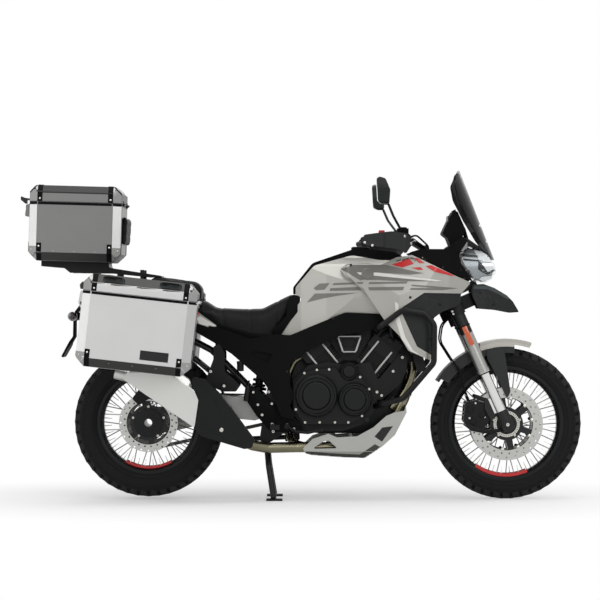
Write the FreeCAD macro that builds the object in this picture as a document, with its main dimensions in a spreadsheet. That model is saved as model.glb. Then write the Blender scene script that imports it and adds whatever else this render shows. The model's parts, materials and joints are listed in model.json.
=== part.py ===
import FreeCAD, Part
import math
import os

import Sketcher

# Adventure motorcycle with aluminium luggage, in millimetres.
# +X points forward, +Y to the rider's left and +Z up. The origin is on the ground below the
# middle of the motorcycle. It stands on its centre stand, so the rear tyre is off the ground.

# ---------------------------------------------------------------- driving dimensions
DIMENSIONS = (
    # name, value, what it is
    ("wheelbase", 1560, "distance between the axles"),
    ("front_axle_x", 896, "front axle ahead of the origin"),
    ("front_tyre_radius", 329, "110/80-19 tyre"),
    ("front_tyre_width", 112, ""),
    ("front_rim_radius", 241.3, "bead seat of a 19 inch rim"),
    ("rear_tyre_radius", 325, "150/70-17 tyre"),
    ("rear_tyre_width", 150, ""),
    ("rear_rim_radius", 215.9, "bead seat of a 17 inch rim"),
    ("rear_lift", 10, "rear tyre above the ground on the centre stand"),
    ("rim_depth", 19, "bead seat to the inner face of the rim"),
    ("front_disc_radius", 158, ""),
    ("rear_disc_radius", 128, ""),
    ("disc_thickness", 5, ""),
    ("spoke_count", 36, ""),
    ("rake", 24, "steering axis from the vertical, degrees"),
    ("fork_offset", 32, "fork legs ahead of the steering axis"),
    ("fork_half_spread", 105, "fork leg to the middle plane"),
    ("fork_tube_radius", 27.5, "upper tube of a fork leg"),
    ("fork_slider_radius", 21.5, "lower tube of a fork leg"),
    ("head_bore_radius", 22, "seat of the steering bearings"),
    ("bar_half_width", 430, "handlebar end to the middle plane"),
    ("bar_radius", 11, ""),
    ("crash_bar_radius", 12.7, "bar of one inch"),
    ("sprocket_teeth", 48, ""),
    ("chain_pitch", 15.875, ""),
    ("case_wall", 3, "aluminium sheet of the luggage cases, with its seams"),
    ("case_bevel", 38, "bevelled edges of the luggage cases"),
    ("pannier_inner", 290, "inner wall of a pannier to the middle plane"),
    ("pannier_depth", 210, ""),
    ("pannier_length", 486, ""),
    ("pannier_body_height", 320, ""),
    ("pannier_lid_height", 74, ""),
    ("top_box_width", 450, ""),
    ("top_box_length", 398, ""),
    ("top_box_body_height", 254, ""),
    ("top_box_lid_height", 71, ""),
    ("rear_axle_bore", 17, "radius of the hollow rear axle"),
    ("running_gap", 6, "least space between moving pieces"),
    ("fit_gap", 0.3, "play between pieces that are fitted together"),
)


def vec(x, y, z):
    return FreeCAD.Vector(x, y, z)


DOC = FreeCAD.newDocument("AdventureMotorcycle")
SHEET = DOC.addObject("Spreadsheet::Sheet", "Sizes")
for row, (name, value, meaning) in enumerate(DIMENSIONS, start=1):
    SHEET.set("A%d" % row, name)
    SHEET.set("B%d" % row, str(value))
    SHEET.set("C%d" % row, meaning)
    SHEET.setAlias("B%d" % row, name)
DOC.recompute()


def size(name):
    return float(getattr(SHEET, name))


FRONT_AXLE = vec(size("front_axle_x"), 0, size("front_tyre_radius"))
REAR_AXLE = vec(
    size("front_axle_x") - size("wheelbase"), 0, size("rear_tyre_radius") + size("rear_lift"))
RAKE = math.radians(size("rake"))
STEER_UP = vec(-math.sin(RAKE), 0, math.cos(RAKE))
STEER_FORWARD = vec(math.cos(RAKE), 0, math.sin(RAKE))
STEER_BASE = FRONT_AXLE - STEER_FORWARD * size("fork_offset")
HEAD_LOW, HEAD_HIGH = 566, 658
SWINGARM_PIVOT = vec(-106, 0, 407)
CRANK = vec(210, 0, 476)
CYLINDER_ANGLE = 39.3
CENTRE_STAND_PIVOT = vec(-152, 0, 270)
SIDE_STAND_PIVOT = vec(-30, 130, 264)
SIDE_STAND_FOLDED = vec(-0.99, 0.07, -0.05).normalize()
SIDE_STAND_DOWN = vec(0.06, 0.36, -0.93).normalize()
SIDE_STAND_AXIS = SIDE_STAND_DOWN.cross(SIDE_STAND_FOLDED).normalize()
NODES = {}


# ---------------------------------------------------------------- modelling helpers
PLANES = {
    # name: (rotation of the sketch, direction it is pulled in)
    "side": (FreeCAD.Rotation(vec(1, 0, 0), 90), vec(0, 1, 0)),
    "front": (FreeCAD.Rotation(vec(0, 1, 0), vec(0, 0, 1), vec(1, 0, 0), "XYZ"), vec(1, 0, 0)),
    "plan": (FreeCAD.Rotation(), vec(0, 0, 1)),
}


def add(kind, name):
    return DOC.addObject(kind, name)


def closed_outline(points, radius=0.0):
    """Edges of a closed outline whose corners are rounded. A point may carry its own radius."""
    corners = [(vec(p[0], p[1], 0), p[2] if len(p) > 2 else radius) for p in points]
    joints = []
    for index, (corner, round_radius) in enumerate(corners):
        to_last = (corners[index - 1][0] - corner)
        to_next = (corners[(index + 1) % len(corners)][0] - corner)
        half_angle = to_last.getAngle(to_next) / 2
        if round_radius <= 0 or half_angle > math.radians(89):
            joints.append((corner, corner, corner))
            continue
        reach = round_radius / math.tan(half_angle)
        reach = min(reach, 0.49 * to_last.Length, 0.49 * to_next.Length)
        start = corner + to_last.normalize() * reach
        end = corner + to_next.normalize() * reach
        inward = (start + end) * 0.5 - corner
        true_radius = reach * math.tan(half_angle)
        centre_distance = true_radius / math.sin(half_angle)
        middle = corner + inward.normalize() * (centre_distance - true_radius)
        joints.append((start, middle, end))
    edges = []
    for index, (start, middle, end) in enumerate(joints):
        if start != end:
            edges.append(Part.Arc(start, middle, end))
        following = joints[(index + 1) % len(joints)][0]
        if (following - end).Length > 0.01:
            edges.append(Part.LineSegment(end, following))
    return edges


def circle_outline(x, y, *radii):
    return [Part.Circle(vec(x, y, 0), vec(0, 0, 1), radius) for radius in radii]


def sketch_on(plane, level, edges):
    rotation, direction = PLANES[plane]
    sketch = add("Sketcher::SketchObject", "Outline")
    sketch.Placement = FreeCAD.Placement(direction * level, rotation)
    sketch.addGeometry(edges, False)
    return sketch


def extrude(plane, edges, low, high, length=None):
    solid = add("Part::Extrusion", "Extrusion")
    solid.Base = sketch_on(plane, low, edges)
    solid.DirMode = "Custom"
    solid.Dir = PLANES[plane][1]
    bind(solid, "LengthFwd", length or high - low)
    solid.Solid = True
    return solid


def plate(plane, points, low, high, radius=0.0, length=None):
    return extrude(plane, closed_outline(points, radius), low, high, length)


def symmetric(half):
    """Both halves of a front or plan outline, from the half with positive Y."""
    return [tuple(p) for p in half] + [(p[0], -p[1]) + tuple(p[2:]) for p in reversed(half) if p[1] > 0]


def symmetric_front(half):
    """Both halves of a front outline of (y, z) points, from the half with positive Y."""
    return [tuple(p) for p in half] + [(-p[0],) + tuple(p[1:]) for p in reversed(half) if p[0] > 0]


def common(*solids):
    shared = add("Part::MultiCommon", "Common")
    shared.Shapes = solids
    return shared


def join(*solids):
    joined = add("Part::MultiFuse", "Fusion")
    joined.Shapes = solids
    joined.Refine = True
    return joined


def gather(*solids):
    group = add("Part::Compound", "Compound")
    group.Links = solids
    return group


def cut(base, *tools):
    remainder = add("Part::Cut", "Cut")
    remainder.Base = base
    remainder.Tool = tools[0] if len(tools) == 1 else gather(*tools)
    return remainder


def mirror(solid):
    image = add("Part::Mirroring", "Mirror")
    image.Source = solid
    image.Normal = vec(0, 1, 0)
    return image


def both_sides(solid):
    return gather(solid, mirror(solid))


def block(low, high):
    box = add("Part::Box", "Box")
    box.Length, box.Width, box.Height = (b - a for a, b in zip(low, high))
    box.Placement.Base = vec(*low)
    return box


def bind(feature, name, value):
    """Sets a property, or binds it to the sheet where the value is an expression."""
    if isinstance(value, str):
        feature.setExpression(name, value)
    else:
        setattr(feature, name, value)


def rod(start, end, radius):
    start, end = vec(*start), vec(*end)
    cylinder = add("Part::Cylinder", "Cylinder")
    bind(cylinder, "Radius", radius)
    cylinder.Height = (end - start).Length
    cylinder.Placement = FreeCAD.Placement(start, FreeCAD.Rotation(vec(0, 0, 1), end - start))
    return cylinder


def pipe(start, end, radius, inner):
    return cut(rod(start, end, radius), rod(start, end, inner))


def turned(points, centre, axis=vec(0, 1, 0), radius=0.0):
    """Solid of revolution: points are (distance from the axis, distance along it)."""
    solid = add("Part::Revolution", "Revolution")
    sketch = add("Sketcher::SketchObject", "Outline")
    sketch.addGeometry(closed_outline(points, radius), False)
    solid.Source = sketch
    solid.Axis = vec(0, 1, 0)
    solid.Angle = 360
    solid.Solid = True
    solid.Placement = FreeCAD.Placement(centre, FreeCAD.Rotation(vec(0, 1, 0), axis))
    return solid


def bent_path(points, bend):
    """Open wire of straight runs joined by tangent arcs."""
    corners = [vec(*p) for p in points]
    edges = []
    last = corners[0]
    for before, corner, after in zip(corners, corners[1:], corners[2:]):
        back = (before - corner)
        onward = (after - corner)
        half_angle = back.getAngle(onward) / 2
        if half_angle > math.radians(89.5):
            continue
        reach = min(bend / math.tan(half_angle), 0.48 * back.Length, 0.48 * onward.Length)
        true_radius = reach * math.tan(half_angle)
        start = corner + back.normalize() * reach
        end = corner + onward.normalize() * reach
        inward = ((start + end) * 0.5 - corner).normalize()
        middle = corner + inward * (true_radius / math.sin(half_angle) - true_radius)
        if (start - last).Length > 0.01:
            edges.append(Part.LineSegment(last, start).toShape())
        edges.append(Part.Arc(start, middle, end).toShape())
        last = end
    edges.append(Part.LineSegment(last, corners[-1]).toShape())
    return Part.Wire(edges)


def tube(points, radius, bend=40.0, inner=0.0):
    """Round tube or bar along a bent path."""
    path = bent_path(points, bend)
    start = vec(*points[0])
    direction = vec(*points[1]) - start
    shape = None
    for section_radius in (radius, inner):
        if section_radius <= 0:
            continue
        ring = Part.Wire([Part.Circle(start, direction, section_radius).toShape()])
        solid = path.makePipeShell([ring], True, False)
        shape = solid if shape is None else shape.cut(solid)
    feature = add("Part::Feature", "Tube")
    feature.Shape = shape
    return feature


def node(label, solid):
    solid.Label = label
    NODES[label] = solid
    return solid


def seat(label, *others):
    """Cuts a piece back to where its neighbours touch it."""
    base = NODES[label]
    base.Label = label + "_uncut"
    node(label, cut(base, *[NODES[other] for other in others]))


def on_fork(along, forward=0.0, y=0.0):
    """Point in the steered frame: distance up the fork from the axle, ahead of the legs, and Y."""
    point = FRONT_AXLE + STEER_UP * along + STEER_FORWARD * forward
    return (point.x, y, point.z)


def design_body(label, position):
    body = add("PartDesign::Body", label)
    body.Placement.Base = position
    return body


def body_sketch(body, role, edges):
    sketch = body.newObject("Sketcher::SketchObject", "Profile")
    plane = next(part for part in body.Origin.OriginFeatures if part.Role == role)
    sketch.AttachmentSupport = [(plane, "")]
    sketch.MapMode = "FlatFace"
    sketch.addGeometry(edges, False)
    return sketch


def drive_radius(sketch, geometry_index, radius, expression):
    """Radius constraint of a circle, bound to the sheet."""
    index = sketch.addConstraint(Sketcher.Constraint("Radius", geometry_index, radius))
    sketch.setExpression("Constraints[%d]" % index, expression)


def body_revolution(body, edges):
    """Revolves (radius, y) outlines about the body's Y axis."""
    feature = body.newObject("PartDesign::Revolution", "Revolution")
    feature.Profile = body_sketch(body, "XY_Plane", edges)
    feature.ReferenceAxis = (feature.Profile[0], ["V_Axis"])
    feature.Angle = 360
    return feature


def body_pad(body, sketch, length, expression=None):
    """Symmetric pad of a sketch that lies in the middle plane of the body."""
    feature = body.newObject("PartDesign::Pad", "Pad")
    feature.Profile = sketch
    feature.Length = length
    feature.SideType = "Symmetric"
    if expression:
        feature.setExpression("Length", expression)
    return feature


def body_pocket_pattern(body, edges, depth, count):
    """Through holes, repeated round the body's Y axis."""
    pocket = body.newObject("PartDesign::Pocket", "Pocket")
    pocket.Profile = body_sketch(body, "XZ_Plane", edges)
    pocket.SideType = "Symmetric"
    pocket.Length = depth
    axis = next(part for part in body.Origin.OriginFeatures if part.Role == "Y_Axis")
    pattern = body.newObject("PartDesign::PolarPattern", "Pattern")
    pattern.Originals = [pocket]
    pattern.Axis = (axis, [""])
    pattern.Angle = 360
    pattern.Occurrences = count
    body.Tip = pattern
    return pattern


# ---------------------------------------------------------------- wheels
def tyre(label, centre, prefix):
    """Tyre with an open carcass: beads on the rim, side walls and a crowned tread."""
    outer = size(prefix + "_tyre_radius")
    half = size(prefix + "_tyre_width") / 2
    bead = size(prefix + "_rim_radius")
    seat = half * 0.68
    body = design_body(label, centre)
    body_revolution(body, closed_outline([
        (bead, -seat), (bead + 14, -seat), (bead + 0.35 * (outer - bead), -half, 30),
        (outer - 30, -half * 0.97, 14), (outer - 9, -half * 0.62, 60), (outer, -half * 0.2, 90),
        (outer, half * 0.2, 90), (outer - 9, half * 0.62, 60), (outer - 30, half * 0.97, 14),
        (bead + 0.35 * (outer - bead), half, 30), (bead + 14, seat), (bead, seat),
        (bead, seat - 12), (bead + 22, seat - 4, 10), (outer - 36, half * 0.8, 14),
        (outer - 16, half * 0.3, 30), (outer - 16, -half * 0.3, 30), (outer - 36, -half * 0.8, 14),
        (bead + 22, -seat + 4, 10), (bead, -seat + 12)]))
    node(label, body)


def spoke(centre, hub_radius, hub_y, rim_radius, rim_y, angle, lead):
    """One wire spoke, as a six-sided prism from the hub flange to the rim."""
    def at(radius, y, degrees):
        turn = math.radians(degrees)
        return (centre.x + radius * math.cos(turn), y, centre.z + radius * math.sin(turn))
    start = vec(*at(hub_radius, hub_y, angle))
    end = vec(*at(rim_radius, rim_y, angle + lead))
    prism = add("Part::Prism", "Spoke")
    prism.Polygon = 6
    prism.Circumradius = 2.4
    prism.Height = (end - start).Length
    prism.Placement = FreeCAD.Placement(start, FreeCAD.Rotation(vec(0, 0, 1), end - start))
    return prism


def spoked_rim(label, centre, prefix, hub_points, flange_radius, flange_y):
    """Rim, crossed wire spokes and hub as the one rigid wheel that they make."""
    bead = size(prefix + "_rim_radius")
    seat = size(prefix + "_tyre_width") / 2 * 0.68
    inner = bead - size("rim_depth")
    gap = size("fit_gap")
    rim = turned([
        (bead + 11, -seat - 4.5, 2), (bead + 11, -seat - gap, 1), (bead - gap, -seat - gap),
        (bead - gap, seat + gap), (bead + 11, seat + gap, 1), (bead + 11, seat + 4.5, 2),
        (bead - 6, seat + 4.5, 6), (inner, seat * 0.45, 8), (inner, -seat * 0.45, 8),
        (bead - 6, -seat - 4.5, 6)], centre)
    hub = turned(hub_points, centre)
    spokes = []
    count = int(size("spoke_count"))
    for index in range(count):
        side = -1 if index % 2 else 1
        lead = 22 if index % 4 < 2 else -22
        spokes.append(spoke(centre, flange_radius, side * flange_y, inner + 3, side * seat * 0.25,
                            index * 360 / count - lead, lead))
    node(label, join(rim, hub, *spokes))


def brake_disc(label, centre, y_list, outer, outer_expression, inner, holes):
    """Brake discs with two rings of cooling holes."""
    discs = []
    for index, y in enumerate(y_list):
        body = design_body("%s_%d" % (label, index), centre + vec(0, y, 0))
        sketch = body_sketch(body, "XZ_Plane", circle_outline(0, 0, outer, inner))
        drive_radius(sketch, 0, outer, outer_expression)
        body_pad(body, sketch, size("disc_thickness"), "Sizes.disc_thickness")
        DOC.recompute()
        middle = (outer + inner) / 2 + 2
        body_pocket_pattern(
            body, circle_outline(middle + 9, 0, 4) + circle_outline(middle - 9, 12, 4), 40, holes)
        discs.append(body)
    return discs


def disc_carrier(centre, low, high, hub_radius, ring_radius, reach):
    """Six-armed carrier between a hub and the inner edge of its disc."""
    ring = turned([(hub_radius, low), (ring_radius, low), (ring_radius, high), (hub_radius, high)],
                  centre)
    arms = []
    for index in range(6):
        arm = block((ring_radius - 6, low, -13), (reach, high, 13))
        arm.Placement = FreeCAD.Placement(
            centre, FreeCAD.Rotation(vec(0, 1, 0), 60 * index + 20)).multiply(arm.Placement)
        arms.append(arm)
    return join(ring, *arms)


def front_wheel():
    tyre("front_tyre", FRONT_AXLE, "front")
    hub = [(12, -62), (40, -62), (40, -40), (32, -38), (32, -32), (46, -31), (46, -27), (30, -22),
           (30, 22), (46, 27), (46, 31), (32, 32), (32, 38), (40, 40), (40, 62), (12, 62)]
    spoked_rim("front_rim", FRONT_AXLE, "front", hub, 42, 29)
    outer = size("front_disc_radius")
    discs = brake_disc("front_disc", FRONT_AXLE, (-70, 70), outer, "Sizes.front_disc_radius", 112, 24)
    carriers = both_sides(disc_carrier(FRONT_AXLE, -72.5, -67.5, 20, 72, 112))
    spacers = both_sides(turned([(20, 62), (38, 62), (38, 67.5), (20, 67.5)], FRONT_AXLE))
    node("front_discs", join(discs[0], discs[1], carriers, spacers))


def rear_wheel():
    tyre("rear_tyre", REAR_AXLE, "rear")
    bore = size("rear_axle_bore")
    hub = [(bore, -96), (33, -96), (33, -90), (62, -88), (62, -80), (50, -74), (50, -40), (62, -38),
           (62, -33), (36, -26), (36, 26), (62, 33), (62, 38), (40, 42), (40, 72), (30, 72),
           (30, 130), (24, 130), (24, 136), (bore, 136)]
    spoked_rim("rear_rim", REAR_AXLE, "rear", hub, 57, 35.5)
    outer = size("rear_disc_radius")
    disc = brake_disc("rear_disc", REAR_AXLE, (-77,), outer, "Sizes.rear_disc_radius", 92, 24)[0]
    carrier = disc_carrier(REAR_AXLE, -80, -74, 62.3, 78, 92)
    node("rear_disc", join(disc, carrier))


def chain_wheel_radius(teeth):
    return size("chain_pitch") / (2 * math.sin(math.pi / teeth))


def toothed_wheel(label, centre, teeth, width, bore):
    """Sprocket with round-bottomed tooth gaps."""
    pitch_radius = chain_wheel_radius(teeth)
    body = design_body(label, centre)
    sketch = body_sketch(body, "XZ_Plane", circle_outline(0, 0, pitch_radius + 4, bore))
    body_pad(body, sketch, width)
    DOC.recompute()
    gap = closed_outline([(pitch_radius - 5.4, -5.2, 4.8), (pitch_radius - 5.4, 5.2, 4.8),
                          (pitch_radius + 7, 7.2), (pitch_radius + 7, -7.2)])
    body_pocket_pattern(body, gap, 40, teeth)
    return body


CHAIN_Y = 123
REAR_SPROCKET = REAR_AXLE + vec(0, CHAIN_Y, 0)
FRONT_SPROCKET = vec(10, CHAIN_Y, 400)
FRONT_TEETH = 16


def drive():
    sprocket = toothed_wheel("sprocket_ring", REAR_SPROCKET, int(size("sprocket_teeth")), 7, 85)
    spider = disc_carrier(REAR_AXLE, CHAIN_Y - 3.5, CHAIN_Y + 3.5, 30.3, 50, 85.5)
    node("rear_sprocket", join(sprocket, spider))


def tangent_loop(first, first_radius, second, second_radius):
    """Outer belt line round two circles in the XZ plane, as a list of straight ends."""
    run = second - first
    angle = math.atan2(run.z, run.x)
    lean = math.asin((first_radius - second_radius) / run.Length)
    points = []
    for side in (1, -1):
        turn = angle + side * (math.pi / 2 - lean)
        normal = vec(math.cos(turn), 0, math.sin(turn))
        points.append((first + normal * first_radius, second + normal * second_radius))
    return points


def loop_face(first, first_radius, second, second_radius):
    upper, lower = tangent_loop(first, first_radius, second, second_radius)
    outward = (second - first).normalize()
    edges = [
        Part.LineSegment(upper[0], upper[1]).toShape(),
        Part.Arc(upper[1], second + outward * second_radius, lower[1]).toShape(),
        Part.LineSegment(lower[1], lower[0]).toShape(),
        Part.Arc(lower[0], first - outward * first_radius, upper[0]).toShape()]
    return Part.Face(Part.Wire(edges))


def chain():
    """Drive chain as its two rows of side plates, with rollers in the front sprocket's gaps."""
    first, second = REAR_SPROCKET, FRONT_SPROCKET
    rear_radius = chain_wheel_radius(int(size("sprocket_teeth")))
    front_radius = chain_wheel_radius(FRONT_TEETH)
    rows = []
    for low, high in ((-9.5, -5.2), (5.2, 9.5)):
        outer = loop_face(first, rear_radius + 7.5, second, front_radius + 7.5)
        inner = loop_face(first, rear_radius - 7.5, second, front_radius - 7.5)
        row = outer.cut(inner)
        row.translate(vec(0, low, 0))
        rows.append(row.extrude(vec(0, high - low, 0)))
    band = loop_face(first, rear_radius + 7.5, second, front_radius + 7.5).cut(
        loop_face(first, rear_radius + 5.5, second, front_radius + 5.5))
    band.translate(vec(0, -5.2, 0))
    rows.append(band.extrude(vec(0, 10.4, 0)))
    for index in range(-3, 4):
        turn = 2 * math.pi * index / FRONT_TEETH
        centre = second + vec(math.cos(turn), 0, math.sin(turn)) * front_radius
        rows.append(Part.makeCylinder(5.1, 12, centre - vec(0, 6, 0), vec(0, 1, 0)))
    shape = rows[0].fuse(rows[1:]).removeSplitter()
    feature = add("Part::Feature", "Chain")
    feature.Shape = shape
    node("drive_chain", feature)


# ---------------------------------------------------------------- front end, steered
def fork():
    """Upside-down fork legs on a hollow axle, with the lugs that carry the calipers."""
    spread = size("fork_half_spread")
    lower = rod(on_fork(-22, 0, spread), on_fork(250, 0, spread), "Sizes.fork_slider_radius")
    clamp = rod(on_fork(-26, 0, spread), on_fork(62, 0, spread), 27)
    foot = plate("side", [(872, 318, 12), (884, 296, 12), (916, 300, 14), (922, 340, 14),
                          (900, 372, 10), (872, 380, 10)], spread - 26, spread + 24)
    caliper_lug = plate("side", [(868, 400), (852, 440), (800, 440), (800, 395), (830, 340)],
                        spread - 22, spread - 10)
    upper = rod(on_fork(249, 0, spread), on_fork(700, 0, spread), "Sizes.fork_tube_radius")
    collar = rod(on_fork(246, 0, spread), on_fork(262, 0, spread), "Sizes.fork_tube_radius + 2")
    x, z = FRONT_AXLE.x, FRONT_AXLE.z
    nut = rod((x, spread + 23, z), (x, spread + 32, z), 17)
    side = join(lower, clamp, foot, caliper_lug, upper, collar, nut)
    node("fork_legs", join(side, mirror(side), rod((x, -spread - 30, z), (x, spread + 30, z), 11.5)))


def triple_clamps():
    """Two clamps bored for the fork legs, with the steering stem between them."""
    spread = size("fork_half_spread")
    back = -size("fork_offset")
    plates = []
    for low, high in ((520, 560), (664, 694)):
        outline = symmetric([(-70, 0, 20), (-66, 30, 20), (-30, 66, 20), (-32, spread + 34, 31),
                             (32, spread + 34, 31), (36, 60, 30), (30, 0)])
        plates.append(plate("plan", outline, low, high))
    stem = rod((back, 0, 480), (back, 0, 700), 15)
    bearings = [rod((back, 0, level), (back, 0, level + 16), "Sizes.head_bore_radius - Sizes.fit_gap")
                for level in (HEAD_LOW, HEAD_HIGH - 16)]
    legs = both_sides(rod((0, spread, 400), (0, spread, 800), "Sizes.fork_tube_radius + 0.1"))
    hose_cover = plate("plan", symmetric([(20, 0), (20, 50), (88, 50, 20), (102, 28, 20), (102, 0)]),
                       528, 586)
    clamps = cut(join(plates[0], plates[1], stem, hose_cover, *bearings), legs)
    placed = gather(clamps)
    placed.Placement = FreeCAD.Placement(
        FRONT_AXLE, FreeCAD.Rotation(vec(0, 1, 0), -size("rake")))
    return placed


def bar_route():
    return [(538, 0, 1092), (538, 70, 1092), (484, 150, 1126), (400, 280, 1130),
            (284, size("bar_half_width"), 1124)]


def bar_room():
    return tube(bar_route(), size("bar_radius") + size("fit_gap"), 45)


def handlebar():
    bar_half = tube(bar_route(), size("bar_radius"), 45)
    node("handlebar", join(bar_half, mirror(bar_half)))
    low = vec(*on_fork(690, -34, 45))
    riser = cut(rod((low.x, 45, low.z), (538, 45, 1107), 16.5), bar_room())
    node("triple_clamps", join(triple_clamps(), riser, mirror(riser)))


def bar_controls():
    """Grips, switch housings, master cylinders and levers on each side of the handlebar."""
    inner_end, outer_end = vec(394, 288, 1129.7), vec(284, size("bar_half_width"), 1124)
    along = (outer_end - inner_end).normalize()

    def sleeve(start, end, radius):
        return rod(tuple(inner_end + along * start), tuple(inner_end + along * end), radius)
    node("grips", both_sides(cut(sleeve(12, 172, 16.5), bar_room())))
    reservoir = block((412, 226, 1142), (462, 262, 1176))
    lever = tube([(438, 236, 1132), (462, 262, 1128), (404, 352, 1120), (330, 432, 1112)], 6.5, 30)
    pump = rod((418, 238, 1136), (464, 262, 1131), 13)
    housing = join(sleeve(-42, 11.7, 24), sleeve(-66, -41, 18), reservoir, lever, pump)
    node("bar_controls", both_sides(cut(housing, bar_room())))


def hand_guards():
    """Curved shield ahead of each grip, on stays from the bar end and the bar's bend."""
    outline = plate("side", [(256, 1118, 10), (266, 1144, 12), (306, 1150, 30), (384, 1160, 30),
                             (470, 1150, 14), (474, 1104, 14), (444, 1062, 12), (428, 1084, 20),
                             (374, 1090, 30), (264, 1100, 10)], 200, 520)
    shell = plate("plan", [(492, 262, 20), (440, 360, 40), (352, 452, 40), (252, 472, 20),
                           (252, 464, 14), (346, 444, 36), (432, 352, 36), (484, 258, 14)], 1000, 1200)
    bend, bar_end = (vec(*point) for point in bar_route()[-2:])
    outward = (bar_end - bend).normalize()
    end_weight = rod(tuple(bar_end + outward * size("fit_gap")), tuple(bar_end + outward * 40), 12)
    stay = tube([(470, 292, 1112), (486, 250, 1118), (492, 190, 1122), (484, 150, 1122)], 6, 20)
    node("hand_guards", both_sides(join(common(outline, shell), end_weight, stay)))


def mirrors():
    head = cut(plate("side", [(320, 1385, 14), (334, 1392, 12), (358, 1384, 14), (378, 1335, 20),
                              (374, 1276, 12), (360, 1268, 10), (326, 1286, 14)], 330, 440),
               plate("front", [(330, 1200), (330, 1420), (344, 1420), (334, 1330), (344, 1200)], 300, 400))
    shaped = common(head, plate("front", [(336, 1272, 18), (334, 1330, 30), (344, 1382, 18),
                                          (410, 1400, 22), (436, 1350, 30), (420, 1280, 20)], 300, 400))
    stem = tube([(426, 244, 1150), (424, 262, 1178), (392, 352, 1228), (372, 368, 1276)], 5.5, 25)
    node("mirrors", both_sides(join(shaped, stem)))


def front_fender():
    """Fender hoop over the tyre with its bright top panel and a stay to each fork leg."""
    x, z = FRONT_AXLE.x, FRONT_AXLE.z

    def ring(inner, outer, half_width):
        return cut(rod((x, -half_width, z), (x, half_width, z), outer),
                   rod((x, -half_width - 1, z), (x, half_width + 1, z), inner))
    span = plate("side", [(x, z), (480, 585), (500, 700), (700, 760), (1020, 760), (995, 655), (930, 600)],
                 -90, 90)
    hoop = common(ring(346, 358, 78), span)
    sides = common(both_sides(extrude("side", circle_outline(x, z, 358, 310), 72, 78)),
                   plate("side", [(930, 720), (740, 720), (600, 530), (690, 480), (800, 600), (930, 600)],
                         -90, 90))
    stay = plate("side", [(806, 662), (884, 662), (902, 540), (912, 470), (897, 437), (862, 519),
                          (812, 610)], 78, 85, 6)
    cap_span = plate("side", [(x, z), (722, 640), (722, 760), (1010, 760), (1003, 655), (940, 600)], -90, 90)
    cap = common(ring(357, 371, 64), cap_span)
    node("front_fender", join(hoop, sides, stay, mirror(stay), cap))


def front_calipers():
    """Four-piston calipers, each open over its disc."""
    outline = [(716, 424, 10), (762, 434, 12), (812, 418, 10), (826, 398, 8), (816, 330, 10),
               (790, 306, 10), (732, 310, 12), (708, 340, 14)]
    spread = size("fork_half_spread")
    body = plate("side", outline, 50, spread - 22.3)
    x, z = FRONT_AXLE.x, FRONT_AXLE.z
    slot = rod((x, 70 - 8, z), (x, 70 + 8, z), size("front_disc_radius") + size("running_gap"))
    hub_room = rod((x, 40, z), (x, 62, z), 82)
    node("front_calipers", both_sides(cut(body, slot, hub_room)))


def brake_hoses():
    """Hoses from the master cylinders to the upper clamp and from the lower clamp to the calipers."""
    upper = tube([(456, 258, 1132), (494, 240, 1150), (548, 170, 1104), (566, 88, 1040), (598, 58, 942)],
                 4, 40)
    lower = tube([(668, 66, 812), (616, 76, 760), (606, 84, 690), (650, 90, 620), (690, 92, 560),
                  (704, 88, 500), (722, 77, 456), (738, 68, 415)], 3.5, 60)
    fitting = rod((680, 91.5, 576), (696, 91.5, 550), 6)
    node("brake_hoses", both_sides(gather(upper, join(lower, fitting))))


# ---------------------------------------------------------------- engine
def engine_block():
    outline = [(-36, 380, 30), (-34, 520, 30), (30, 585), (120, 600), (CRANK.x, 585),
               (300, 600), (330, 530), (330, 400, 30), (270, 330, 30), (180, 300, 20),
               (20, 300, 20)]
    case = plate("side", outline, -120, 110)
    shaft = rod((FRONT_SPROCKET.x, 105, FRONT_SPROCKET.z),
                (FRONT_SPROCKET.x, CHAIN_Y + 6, FRONT_SPROCKET.z), 14)
    sprocket = toothed_wheel("front_sprocket", FRONT_SPROCKET, FRONT_TEETH, 7, 12)
    node("crankcase", join(case, shaft, sprocket))


def engine_covers():
    """Right cover with its clutch, alternator and water pump domes, and the left cover."""
    flange = [(-30, 400, 30), (-30, 500, 40), (10, 552, 20), (60, 569, 20), (150, 575, 12), (175, 540, 12),
              (250, 545, 12), (295, 490, 20), (305, 420, 20), (262, 360, 20), (205, 332, 12), (15, 332, 14)]
    cover = plate("side", flange, -160, -120.3)
    domes = []
    for x, z, radius, depth in ((67, 456, 92, 200), (233, 439, 73, 194), (209, 560, 40, 180)):
        centre = vec(x, 0, z)
        profile = [(0, -140), (radius, -140), (radius, -depth + 18, 6), (radius * 0.91, -depth + 8, 4),
                   (radius * 0.85, -depth + 8, 2), (radius * 0.83, -depth + 14, 2),
                   (radius * 0.68, -depth + 14, 2), (radius * 0.62, -depth, 5), (0, -depth)]
        domes.append(turned(profile, centre))
    left = plate("side", flange, 110.3, 128)
    dome = turned([(0, 120), (84, 120), (84, 150, 8), (66, 165, 8), (0, 165)], vec(205, 0, 450))
    sprocket_room = rod((10, 110, 400), (10, 150, 400), 62)
    chain_room = block((-60, 110, 320), (10, 150, 470))
    node("engine_covers", gather(join(cover, *domes), cut(join(left, dome), sprocket_room, chain_room)))


def finned_cylinder(lean):
    """Cylinder and head with cooling fins, leaning from the crankshaft."""
    barrel = block((-62, -88, 118), (62, 78, 206))
    head = block((-68, -100, 206), (68, 92, 262))
    cover = block((-60, -92, 262), (60, 84, 300))
    solid = join(barrel, head, cover)
    grooves = []
    for index in range(6):
        level = 138 + 11 * index
        grooves.append(cut(block((-80, -110, level), (80, 110, level + 4.5)),
                           block((-52, -78, level - 1), (52, 68, level + 6))))
    finned = cut(solid, *grooves)
    placed = gather(finned)
    placed.Placement = FreeCAD.Placement(CRANK, FreeCAD.Rotation(vec(0, 1, 0), lean))
    return placed


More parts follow.
